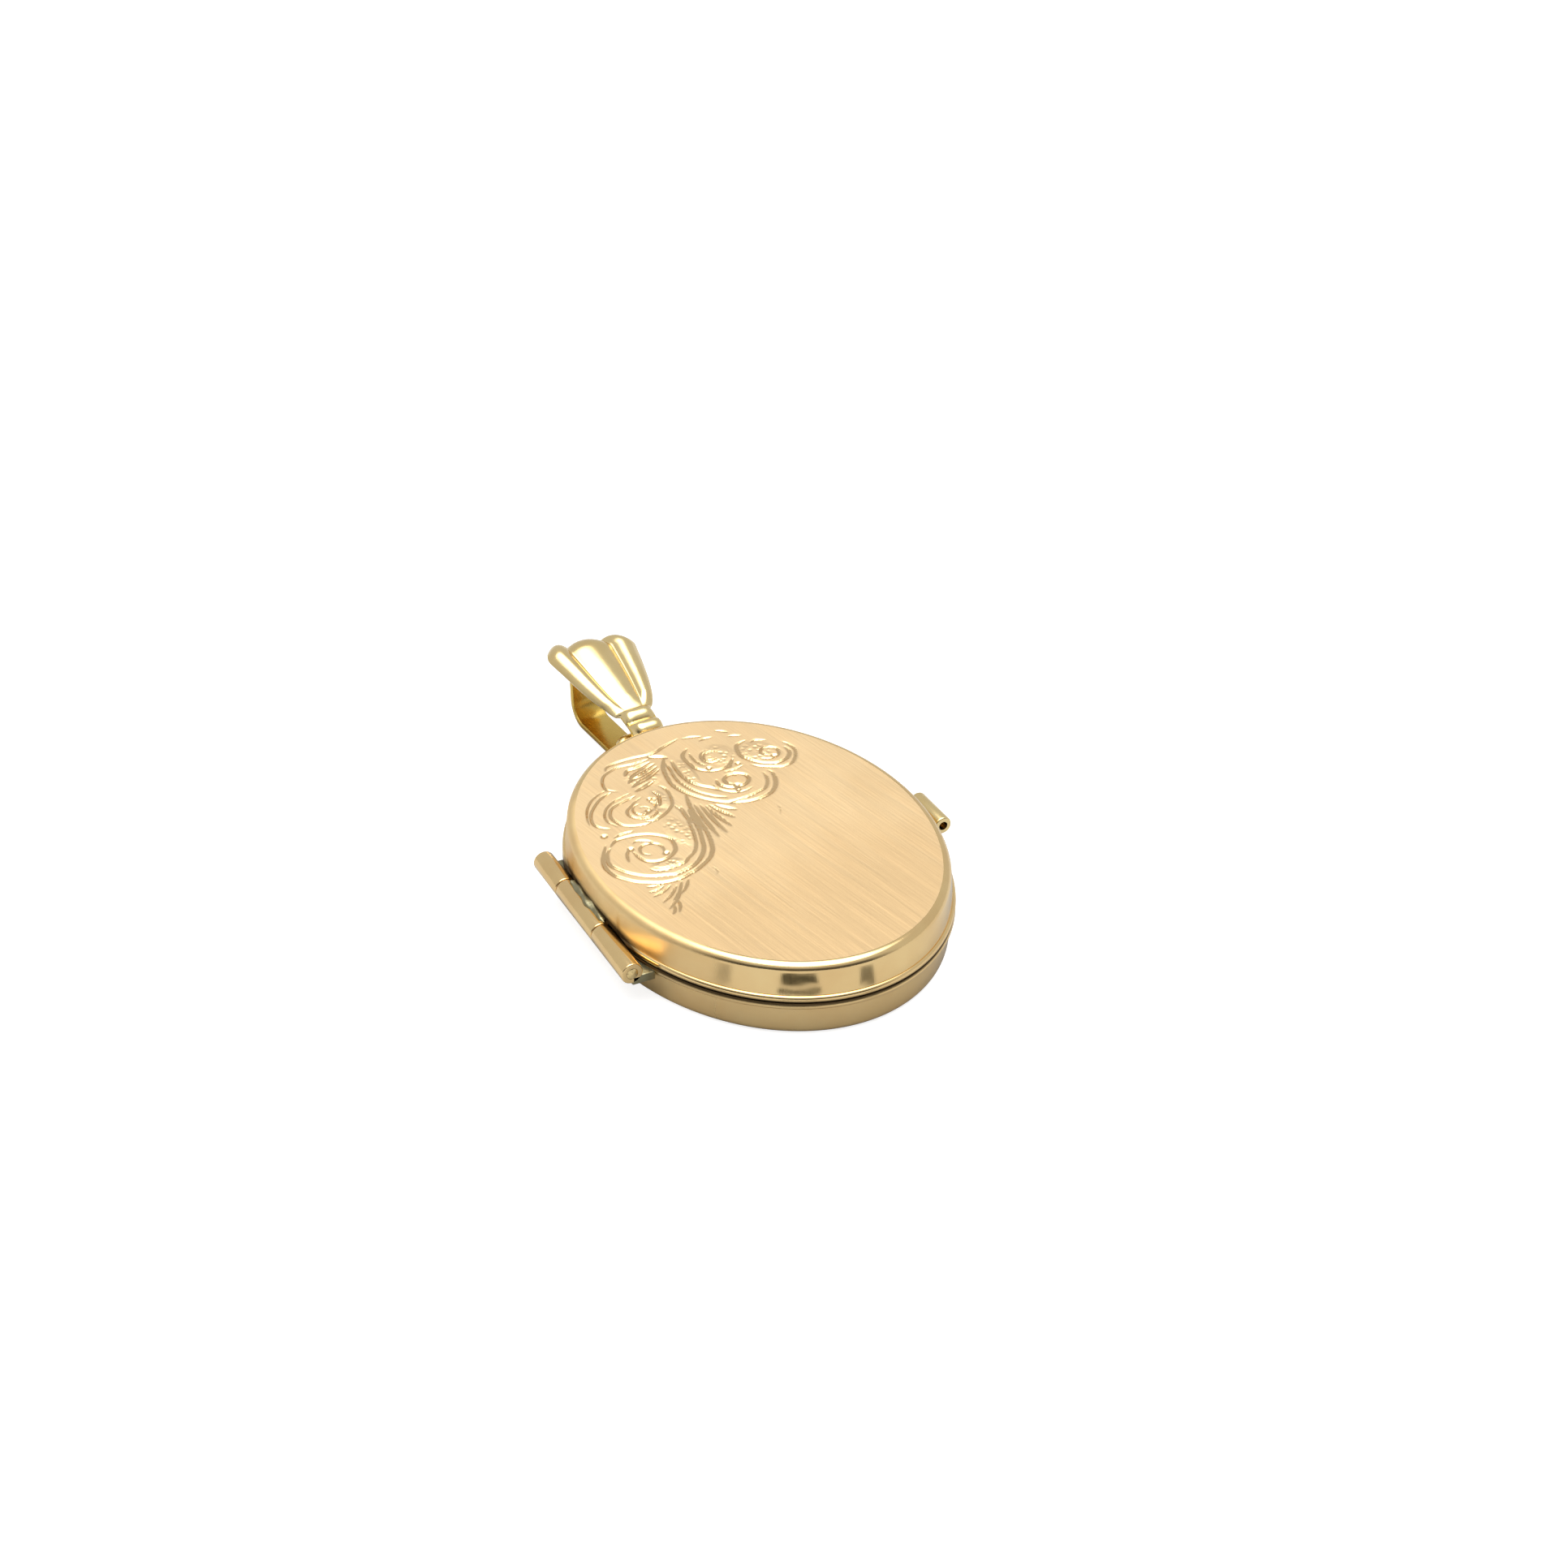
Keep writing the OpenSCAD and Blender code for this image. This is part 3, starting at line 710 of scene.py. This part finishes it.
# %% Back plate
bm = bmesh.new()
bmesh.ops.create_circle(bm, cap_ends=True, segments=OVAL_STEPS, radius=HALF_H - FACE_IN)
to_oval(bm)
solid = bmesh.ops.extrude_face_region(bm, geom=bm.faces[:])["geom"]
bmesh.ops.translate(bm, vec=(0, 0, PLATE_T), verts=only(solid, CORNER))
piece(bm, "back_face", "back", gold_satin)

# %% [markdown]
# ## Rim wires
# A half-round wire is soldered round each half at the seam. Its section is turned like the covers, and its
# round top is what catches the light along the seam.

# %% Both rims
RIM_SUNK = 0.02

def rim_section(seam, side):
    """Points round a rim wire's section. side is 1 above the seam and -1 below it."""
    turns = [math.radians(a) for a in range(0, 181, 15)]
    rounded = [(RIM_PROUD * (1 - math.sin(a)), seam + side * RIM_H / 2 * (1 - math.cos(a))) for a in turns]
    sunk = RIM_PROUD + RIM_SUNK
    return rounded + [(sunk, seam + side * RIM_H), (sunk, seam)]

for body, base, up, room_cut in (("front", FRONT_SEAM, 1, front_room), ("back", SEAM, -1, back_room)):
    bm = oval_ring(rim_section(base, up))
    wire = piece(bm, body + "_rim_wire", body, gold_rim, [body + "_rim"])
    cut(wire, room_cut)

# %% [markdown]
# ## Hinge
# Three tubes turn on one pin. A tube is a section turned about the pin's line, with small rounded
# corners at its ends, since a sawn tube is filed smooth. The pin's ends are domed by a few taps of a hammer.

# %% Tubes
def tube(low, high, outer, inner, x, z, corner=0.05):
    """A tube along Y, with its ends rounded over."""
    section = arc((high - corner, outer - corner), corner, 0, 90, 4)
    section += arc((low + corner, outer - corner), corner, 90, 180, 4)
    section += [(low, inner), (high, inner)]
    return turn(section, (x, 0, z), (0, 1, 0), lambda p: (x, p[0], z + p[1]), 64)

for name, low, high, body, bore in (("hinge_tube_upper", upper_low, upper_high, "back", PIN_R),
                                    ("hinge_tube_lower", lower_low, lower_high, "back", PIN_R),
                                    ("hinge_tube_middle", middle_low, middle_high, "front", BORE_R)):
    bm = tube(low.y, high.y, KNUCKLE_R, bore, HINGE_X, HINGE_Z)
    piece(bm, name, body, gold_polished, [name.replace("tube", "knuckle")])

# %% Pin
pin_low, pin_high = corners("hinge_pin")
DOME = 0.06
PIN_PLAY = 0.012
shoulder = 0.7 * DOME
section = [(pin_low.y - DOME, NEAR_MIDDLE), (pin_low.y - shoulder, 0.5 * PIN_R),
           (pin_low.y, PIN_R - PIN_PLAY)]
section += [(pin_high.y, PIN_R - PIN_PLAY), (pin_high.y + shoulder, 0.5 * PIN_R),
            (pin_high.y + DOME, NEAR_MIDDLE)]
bm = turn(section, (HINGE_X, 0, HINGE_Z), (0, 1, 0), lambda p: (HINGE_X, p[0], HINGE_Z + p[1]), 48)
piece(bm, "hinge_pin_wire", "back", gold_bail, ["hinge_pin"])

# %% [markdown]
# ## Bearers and thumb tab
# Small plates carry the end tubes out from the back rim. They are blocks with bevelled edges that run a
# little into the rim, as solder does. The thumb tab is a short tube on a web, on the other side of the front.

# %% Blocks with soft edges
def block(low, high, soft):
    """A bevelled block between two corners."""
    bm = bmesh.new()
    bmesh.ops.create_cube(bm, size=1)
    size = Vector(high) - Vector(low)
    bmesh.ops.scale(bm, vec=size, verts=bm.verts)
    bmesh.ops.translate(bm, vec=(Vector(low) + Vector(high)) / 2, verts=bm.verts)
    bmesh.ops.bevel(bm, geom=bm.edges[:], offset=soft, segments=3, profile=0.5, affect="EDGES", material=-1)
    return bm

for side in ("upper", "lower"):
    low, high = corners("hinge_bearer_" + side)
    bm = block((HINGE_X, low.y, low.z), (high.x, high.y, high.z), 0.06)
    piece(bm, f"hinge_plate_{side}", "back", solder, ["hinge_bearer_" + side])

# %% Thumb tab
tab_low, tab_high = corners("thumb_tab")
TAB_R = 0.4
TAB_BORE = 0.2
TAB_SOFT = 0.07
WEB_LAP = 0.12
WEB_SHORT = 0.05
tab_x, tab_z = tab_high.x - TAB_R, tab_low.z + TAB_R
bm = tube(tab_low.y, tab_high.y, TAB_R, TAB_BORE, tab_x, tab_z, TAB_SOFT)
piece(bm, "thumb_tab_tube", "front", gold_bail, ["thumb_tab"])
web_from = (HALF_W - WEB_LAP, tab_low.y + WEB_SHORT, FRONT_SEAM)
web_to = (tab_x - 0.25, tab_high.y - WEB_SHORT, FRONT_SEAM + RIM_H)
bm = block(web_from, web_to, 0.05)
piece(bm, "thumb_tab_web", "front", solder)

# %% [markdown]
# The middle tube is soldered along the front's wall, and the solder stays there as a dull, lumpy bead. A grid
# is rolled up into a tube along the joint, with a thickness that swells and shrinks, and both its ends are
# closed.

# %% Solder bead along the middle tube
BEAD_SIDES = 14
BEAD_STEPS = 72
BEAD_SHORT = 0.08
BEAD_SUNK = 0.02
BEAD_T = 0.09
LUMP_T = 0.1
bead_from, bead_to = middle_low.y + BEAD_SHORT, middle_high.y - BEAD_SHORT
bm = bmesh.new()
bmesh.ops.create_grid(bm, x_segments=BEAD_SIDES, y_segments=BEAD_STEPS, size=1)
for corner in bm.verts:
    round_it, share = math.pi * (corner.co.x + 1), (corner.co.y + 1) / 2
    y = bead_from + (bead_to - bead_from) * share
    wall = -(HALF_W - BEAD_SUNK) * math.sqrt(1 - (y / HALF_H) ** 2)
    x = min(max(wall - 0.04, HINGE_X + 0.2), HINGE_X + 0.62)
    z = HINGE_Z + max(0.3, math.sqrt(max(0, (KNUCKLE_R + BEAD_SUNK) ** 2 - (x - HINGE_X) ** 2)))
    lumps = 0.5 + 0.3 * math.sin(2.3 * y + 1.1) + 0.2 * math.cos(6.1 * y)
    thick = (BEAD_T + LUMP_T * lumps) * min(1, (1 - abs(2 * share - 1)) * 9 + 0.02)
    uneven = 1 + 0.16 * math.sin(3 * round_it + 4 * y)
    corner.co = (x + 1.25 * thick * uneven * math.cos(round_it), y, z + thick * uneven * math.sin(round_it))
bmesh.ops.remove_doubles(bm, verts=bm.verts, dist=0.004)
open_ends = [edge for edge in bm.edges if edge.is_boundary]
bmesh.ops.holes_fill(bm, edges=open_ends, sides=0)
piece(bm, "hinge_solder_middle", "front", solder, sharp=80)

# %% [markdown]
# ## Loop
# The bail swings on a wire staple: two legs out of the rim and a bar between them. It is one round wire, so
# a circle is drawn out along a leg, turned through each corner and drawn out along the bar.

# %% Bend the staple from wire
loop_low, loop_high = corners("locket_loop")
WIRE_R = 0.28
LEG_X = (loop_high.x - loop_low.x) / 2 - WIRE_R
swing = next(joint for joint in frame["joints"] if joint["name"] == "bail_swing")
BAIL_Y, BAIL_Z = (Vector(swing["pos_m"]) / MM)[1:]
BEND = 0.5
LEG = 1.9
LEG_TILT = math.radians(20)
out_of_rim = Vector((0, math.cos(LEG_TILT), math.sin(LEG_TILT)))

def draw_out(bm, ring, move):
    """Pulls an open ring of edges along, and returns the new ring."""
    made = bmesh.ops.extrude_edge_only(bm, edges=ring)["geom"]
    bmesh.ops.translate(bm, vec=move, verts=only(made, CORNER))
    return [edge for edge in only(made, EDGE) if edge.is_boundary]

def bend(bm, ring, centre, axis, angle):
    """Turns an open ring of edges through a corner, and returns the new ring."""
    made = bmesh.ops.spin(bm, geom=ring, cent=centre, axis=axis, angle=angle, steps=10)["geom_last"]
    return only(made, EDGE)

bm = bmesh.new()
made = bmesh.ops.create_circle(bm, cap_ends=False, segments=24, radius=WIRE_R)["verts"]
bar = Vector((0, BAIL_Y, BAIL_Z))
foot = bar + Vector((-LEG_X, 0, 0)) - out_of_rim * LEG
lay = Vector((0, 0, 1)).rotation_difference(out_of_rim).to_matrix().to_4x4()
bmesh.ops.transform(bm, matrix=Matrix.Translation(foot) @ lay, verts=made)
ring = bm.edges[:]
bmesh.ops.contextual_create(bm, geom=ring)
ring = draw_out(bm, ring, out_of_rim * (LEG - BEND))
flat = Vector((1, 0, 0)).cross(out_of_rim)
ring = bend(bm, ring, bar + Vector((-LEG_X + BEND, 0, 0)) - out_of_rim * BEND, flat, math.radians(-90))
ring = draw_out(bm, ring, Vector((2 * (LEG_X - BEND), 0, 0)))
ring = bend(bm, ring, bar + Vector((LEG_X - BEND, 0, 0)) - out_of_rim * BEND, flat, math.radians(-90))
ring = draw_out(bm, ring, out_of_rim * (BEND - LEG))
bmesh.ops.contextual_create(bm, geom=ring)
piece(bm, "loop_wire", "back", gold_bail, ["locket_loop"])

# %% [markdown]
# ## Bail
# The strap is one band bent into a closed loop round the staple. Its outline is the tight skin round four
# short rollers, each given by its y and z from the staple's bar and its radius. So a hull is made round the
# rollers, its two flat sides are taken off, and the band that is left gets its thickness. The whole bail lies
# turned a few degrees sideways, as it does when it drops on the bench.

# %% Strap
STRAP_W = 1.45
STRAP_T = 0.26
STRAP_SOFT = 0.06
SKEW = math.radians(4)
rollers = ((0.12, 0.05, 0.86), (4.95, 1.25, 0.8), (4.55, 1.1 - BAIL_Z, 1.1), (2.0, 0.8 - BAIL_Z, 0.8))
hang = Matrix.Translation(bar) @ Matrix.Rotation(SKEW, 4, "Z") @ Matrix.Translation(-bar)
bm = bmesh.new()
for y, z, radius in rollers:
    made = bmesh.ops.create_cone(bm, cap_ends=False, segments=72, radius1=radius, radius2=radius,
                                 depth=STRAP_W)["verts"]
    place = Matrix.Translation((0, BAIL_Y + y, BAIL_Z + z)) @ Matrix.Rotation(math.radians(90), 4, "Y")
    bmesh.ops.transform(bm, matrix=place, verts=made)
hull = bmesh.ops.convex_hull(bm, input=bm.verts)
kept = set(only(hull["geom"], FACE))
bmesh.ops.delete(bm, geom=[face for face in bm.faces if face not in kept], context="FACES")
bmesh.ops.delete(bm, geom=[corner for corner in bm.verts if not corner.link_faces], context="VERTS")
bm.normal_update()
sides = [face for face in bm.faces if abs(face.normal.x) > 0.5]
bmesh.ops.delete(bm, geom=sides, context="FACES_KEEP_BOUNDARY")
bmesh.ops.join_triangles(bm, faces=bm.faces[:], angle_face_threshold=0.6, angle_shape_threshold=3.2)
bmesh.ops.recalc_face_normals(bm, faces=bm.faces)
bmesh.ops.solidify(bm, geom=bm.faces[:], thickness=STRAP_T)
bmesh.ops.recalc_face_normals(bm, faces=bm.faces)
rim_edges = [edge for edge in bm.edges if edge.calc_face_angle(0) > math.radians(60)]
bmesh.ops.bevel(bm, geom=rim_edges, offset=STRAP_SOFT, segments=3, profile=0.5, affect="EDGES", material=-1)
bmesh.ops.transform(bm, matrix=hang, verts=bm.verts)
piece(bm, "bail_strap_band", "bail", gold_inner, ["bail_strap"])

# %% [markdown]
# The leaf is pressed sheet: three flutes that spread from a neck, with a collar and a bead where it meets the
# wrap. A grid is laid along the strap's top, from the bead up over the fold, and its corners are lifted into
# flutes. The sheet then gets its thickness.

# %% Line that the leaf follows
(wrap_y, wrap_z, wrap_r), (fold_y, fold_z, fold_r) = rollers[0], rollers[1]
rise = math.atan2(fold_z - wrap_z, fold_y - wrap_y)
lean_back = rise - math.asin((wrap_r - fold_r) / math.hypot(fold_y - wrap_y, fold_z - wrap_z))
CLEAR = 0.06
WRAP_TURN = math.radians(62)
FOLD_TURN = math.radians(95)
wrap_len = (wrap_r + CLEAR) * WRAP_TURN
blade_len = math.hypot(fold_y - wrap_y, fold_z - wrap_z)
fold_len = (fold_r + CLEAR) * FOLD_TURN
LEAF_LEN = wrap_len + blade_len + fold_len
top_turn = math.pi / 2 + lean_back

def leaf_line(along):
    """Place (y, z) and outward direction of the leaf's middle, along millimetres from the bead's end."""
    if along < wrap_len:
        angle = top_turn + WRAP_TURN * (1 - along / wrap_len)
        centre, radius = (wrap_y, wrap_z), wrap_r + CLEAR
    elif along < wrap_len + blade_len:
        share = (along - wrap_len) / blade_len
        angle = top_turn
        centre = (wrap_y + (fold_y - wrap_y) * share, wrap_z + (fold_z - wrap_z) * share)
        radius = wrap_r + CLEAR + (fold_r - wrap_r) * share
    else:
        angle = top_turn - (along - wrap_len - blade_len) / (fold_r + CLEAR)
        centre, radius = (fold_y, fold_z), fold_r + CLEAR
    outward = Vector((0, math.cos(angle), math.sin(angle)))
    return Vector((0, BAIL_Y + centre[0], BAIL_Z + centre[1])) + outward * radius, outward

def bump_between(value, low, high):
    """A smooth hump from 0 at low, over 1 in the middle, to 0 at high."""
    share = (value - low) / (high - low)
    return math.sin(math.pi * share) ** 0.7 if 0 < share < 1 else 0.0

def ease(value, low, high):
    """Rises smoothly from 0 at low to 1 at high."""
    share = min(max((value - low) / (high - low), 0), 1)
    return share * share * (3 - 2 * share)

# %% Shape the leaf
NECK = 0.76
FAR_HALF = 2.26
PLAIN_HALF = 2.15
SPREAD_FROM = 1.7
NOTCH = 0.46
LEAF_T = 0.17
NECK_BEAD = 0.46
COLLAR = 0.22
inward = {}

def rounded(place):
    """A key that finds a corner again by its place."""
    return tuple(round(part, 4) for part in place)

bm = bmesh.new()
bmesh.ops.create_grid(bm, x_segments=72, y_segments=120, size=1)
for corner in bm.verts:
    across, along = corner.co.x, (corner.co.y + 1) / 2 * LEAF_LEN
    spread = min(max((along - SPREAD_FROM) / (wrap_len + blade_len - SPREAD_FROM), 0), 1)
    half = NECK + (FAR_HALF - NECK) * spread ** 0.6
    tip = ease(along, LEAF_LEN * 0.78, LEAF_LEN)
    half *= 1 - 0.3 * tip
    flute = ease(along, 1.75, 2.6)
    size = half / PLAIN_HALF
    middle, outward = leaf_line(along)
    u = abs(across)
    if u < NOTCH:
        ridge = 0.3 * size * (1 - (u / NOTCH) ** 2)
    else:
        side = (u - NOTCH) / (1 - NOTCH)
        ridge = 1.24 * size * side * (1 - side) - 0.12 * size * side ** 1.6
    plain = -0.2 * u ** 4
    bead = NECK_BEAD * bump_between(along, 0.0, 0.95) + COLLAR * bump_between(along, 1.05, 1.85)
    tilted = (0.1 - 0.16 * across) * ease(along, 2.0, wrap_len + blade_len)
    lift = tilted + flute * ridge + (1 - flute) * (plain + bead * (1 - 0.5 * u ** 6))
    place = middle + outward * lift
    place.x = across * half
    corner.co = place
    inward[rounded(place)] = (outward + Vector((0.6 * across, 0, 0))).normalized() * LEAF_T
made = bmesh.ops.extrude_face_region(bm, geom=bm.faces[:], use_keep_orig=True)["geom"]
for corner in only(made, CORNER):
    corner.co -= inward[rounded(corner.co)]
bmesh.ops.transform(bm, matrix=hang, verts=bm.verts)
piece(bm, "bail_leaf_fluted", "bail", gold_bail, ["bail_leaf"], sharp=50)

# %% [markdown]
# ## Inside
# Each half holds a picture card under a clear window, kept in by an oval frame with a rounded edge. A thin
# lip inside the back makes the front snap shut. The frames and the lip are turned sections, and the cards and
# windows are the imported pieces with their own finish.

# %% Frames and lip
FRAME_W = 1.3
FRAME_T = 0.3
LIP_T = 0.22

def frame_section(base, side):
    """A picture frame's section: flat below, with a rounded top."""
    outer = WALL_IN + 0.05
    turns = [math.radians(a) for a in range(0, 181, 15)]
    top = [(outer + FRAME_W * (0.5 - 0.5 * math.cos(a)), base + side * FRAME_T * (0.45 + 0.55 * math.sin(a)))
           for a in turns]
    return [(outer, base)] + top + [(outer + FRAME_W, base)]

INNER_IN = 2.0
for name, body, side in (("back_photo_frame", "back", 1), ("front_photo_frame", "front", -1)):
    low, high = corners(name)
    base = low.z if side > 0 else high.z
    bm = oval_ring(frame_section(base, side), INNER_IN)
    piece(bm, name.replace("photo", "picture"), body, gold_inner, [name])
lip_low, lip_high = corners("snap_lip")
section = [(WALL_IN, lip_low.z), (WALL_IN, SEAM), (WALL_IN + 0.04, SEAM)]
section += [(WALL_IN + 0.04, lip_high.z - 0.06), (WALL_IN + 0.09, lip_high.z)]
section += [(WALL_IN + LIP_T, lip_high.z), (WALL_IN + LIP_T, lip_low.z)]
piece(oval_ring(section, INNER_IN), "snap_lip_band", "back", gold_inner, ["snap_lip"])

# %% Cards and windows
for name, finish in (("back_picture_card", card_paper), ("front_picture_card", card_paper),
                     ("back_window", window_film), ("front_window", window_film)):
    node = frame["nodes"][name]
    node.data.materials.clear()
    node.data.materials.append(finish)

# %% [markdown]
# ## Studio
# Jewellery is shot on white with large soft lights and a few dark cards, because gold is drawn by what it
# reflects. The sky is a pale room with a bright ceiling and a darker wall on the camera's side.

# %% Camera
AZIMUTH, ELEVATION, ROLL = (math.radians(a) for a in (-27.48, 32.43, 0.69))
DISTANCE, SIDEWAYS, UPWARDS = 119, 1.155, 3.503
LENS = 64.98
SENSOR_W = 36
level_share = math.cos(ELEVATION)
away = Vector((math.sin(AZIMUTH) * level_share, -math.cos(AZIMUTH) * level_share, math.sin(ELEVATION)))
right = Vector((0, 0, 1)).cross(away).normalized()
upward = away.cross(right)
rolled_right = right * math.cos(ROLL) + upward * math.sin(ROLL)
rolled_up = upward * math.cos(ROLL) - right * math.sin(ROLL)
middle = Vector((0, 0, SEAM))
spot = (middle + DISTANCE * away + SIDEWAYS * rolled_right + UPWARDS * rolled_up) * MM
lens = bpy.data.cameras.new("camera")
lens.lens = LENS
lens.sensor_width = SENSOR_W
lens.clip_start = 0.002
camera = add_object("camera", lens)
pose = Matrix((rolled_right, rolled_up, away)).transposed().to_4x4()
camera.matrix_world = Matrix.Translation(spot) @ pose
bpy.context.scene.camera = camera
print("camera at", [round(c, 4) for c in spot])

# %% [markdown]
# The floor looks white to the camera. To the metal it is a dimmer grey, darker close round the locket, with
# four soft-edged dark spots: the polished wall shows dark things that stand round the bench, and they are
# painted on the floor for reflected rays only. Each spot has its middle, its bearing in degrees, half its
# length and width, and how dark it is.

# %% Floor
DARK_SPOTS = ((-9.6, -8.65, 19, 1.1, 0.6, 0.62), (-4.9, -13.8, -26, 1.8, 0.66, 1),
              (-4.3, -12.5, -26, 1.8, 0.22, 1), (1.9, -13.9, -65, 0.95, 0.7, 0.75))
FLOOR_HALF = 0.6
FLOOR_DROP = 0.00001
DARK = (0.015, 0.016, 0.01, 1)
bm = bmesh.new()
bmesh.ops.create_grid(bm, x_segments=8, y_segments=8, size=FLOOR_HALF)
bmesh.ops.translate(bm, vec=(0, 0, -FLOOR_DROP), verts=bm.verts)
mesh = bpy.data.meshes.new("floor")
bm.to_mesh(mesh)
bm.free()
floor = add_object("floor", mesh)
paper = new_finish("floor_paper")
grain = paper.noise(paper.place(stretch=(2, 2, 2)), 2.0)
white = paper.mix(grain, (0.44, 0.44, 0.44, 1), (0.46, 0.46, 0.46, 1))
seen_paper = paper.out(paper.node("ShaderNodeLightPath"), "Is Camera Ray")
bench_x, bench_y = paper.millimetres()[:2]
outward_share = (bench_x * bench_x / HALF_W ** 2 + bench_y * bench_y / HALF_H ** 2).sum_root()
shadow = 0.28 * ((1.32 - outward_share) / 0.16).clamped()
for x, y, bearing, half_long, half_wide, depth in DARK_SPOTS:
    east, north = math.cos(math.radians(bearing)), math.sin(math.radians(bearing))
    long_way = ((bench_x - x) * east + (bench_y - y) * north).size()
    wide_way = ((bench_y - y) * east - (bench_x - x) * north).size()
    lengthways = ((half_long - long_way) / 0.25 + 0.5).clamped()
    inside = lengthways * ((half_wide - wide_way) / 0.15 + 0.5).clamped()
    shadow = shadow + depth * inside
shadow = shadow.clamped() * (1 - seen_paper)
white = paper.mix(shadow, white, DARK)
glow = 0.06 * (1 - shadow) + 0.75 * seen_paper
floor.data.materials.append(paper.surface(Base_Color=white, Roughness=0.9, Specular_IOR_Level=0.0,
                                          Emission_Color=(1, 1, 1, 1), Emission_Strength=glow))

# %% [markdown]
# The room's light depends only on the direction: bright from straight above, pale all round, and dim low down
# on the camera's side. The camera itself sees plain white.

# %% Room light
CEILING = 3.0
WALLS = 0.62
DARK_SIDE = 0.85
world = bpy.data.worlds.new("studio")
bpy.context.scene.world = world
room = Finish(world)
direction = room.out(room.node("ShaderNodeTexCoord"), "Generated")
parts = room.node("ShaderNodeSeparateXYZ", None, {"Vector": direction})
east, north, up = (room.out(parts, axis) for axis in "XYZ")
toward_camera = math.sin(AZIMUTH) * east - math.cos(AZIMUTH) * north
dark_wall = room.ramp(toward_camera, (0.2, 0.0), (0.6, 1.0)) * (1 - room.ramp(up, (0.35, 0.0), (0.65, 1.0)))
ceiling = room.ramp(up, (0.79, 0.0), (0.91, 1.0))
level = (WALLS + CEILING * ceiling) * (1 - DARK_SIDE * dark_wall)
seen = room.out(room.node("ShaderNodeLightPath"), "Is Camera Ray")
strength = level * (1 - seen) + seen
sky = room.node("ShaderNodeBackground", None, {"Color": (1, 1, 1, 1), "Strength": strength})
room.node("ShaderNodeOutputWorld", None, {"Surface": room.out(sky)})

# %% Soft light over the bench
lamp = bpy.data.lights.new("top_light", "AREA")
lamp.shape = "SQUARE"
lamp.size = 0.26
lamp.energy = 0.58
top_light = add_object("top_light", lamp)
top_light.location = (0.02, 0.05, 0.5)
top_light.rotation_euler = (-top_light.location).to_track_quat("-Z", "Y").to_euler()
bpy.context.scene.view_settings.view_transform = "Standard"

# %% Import json
import json
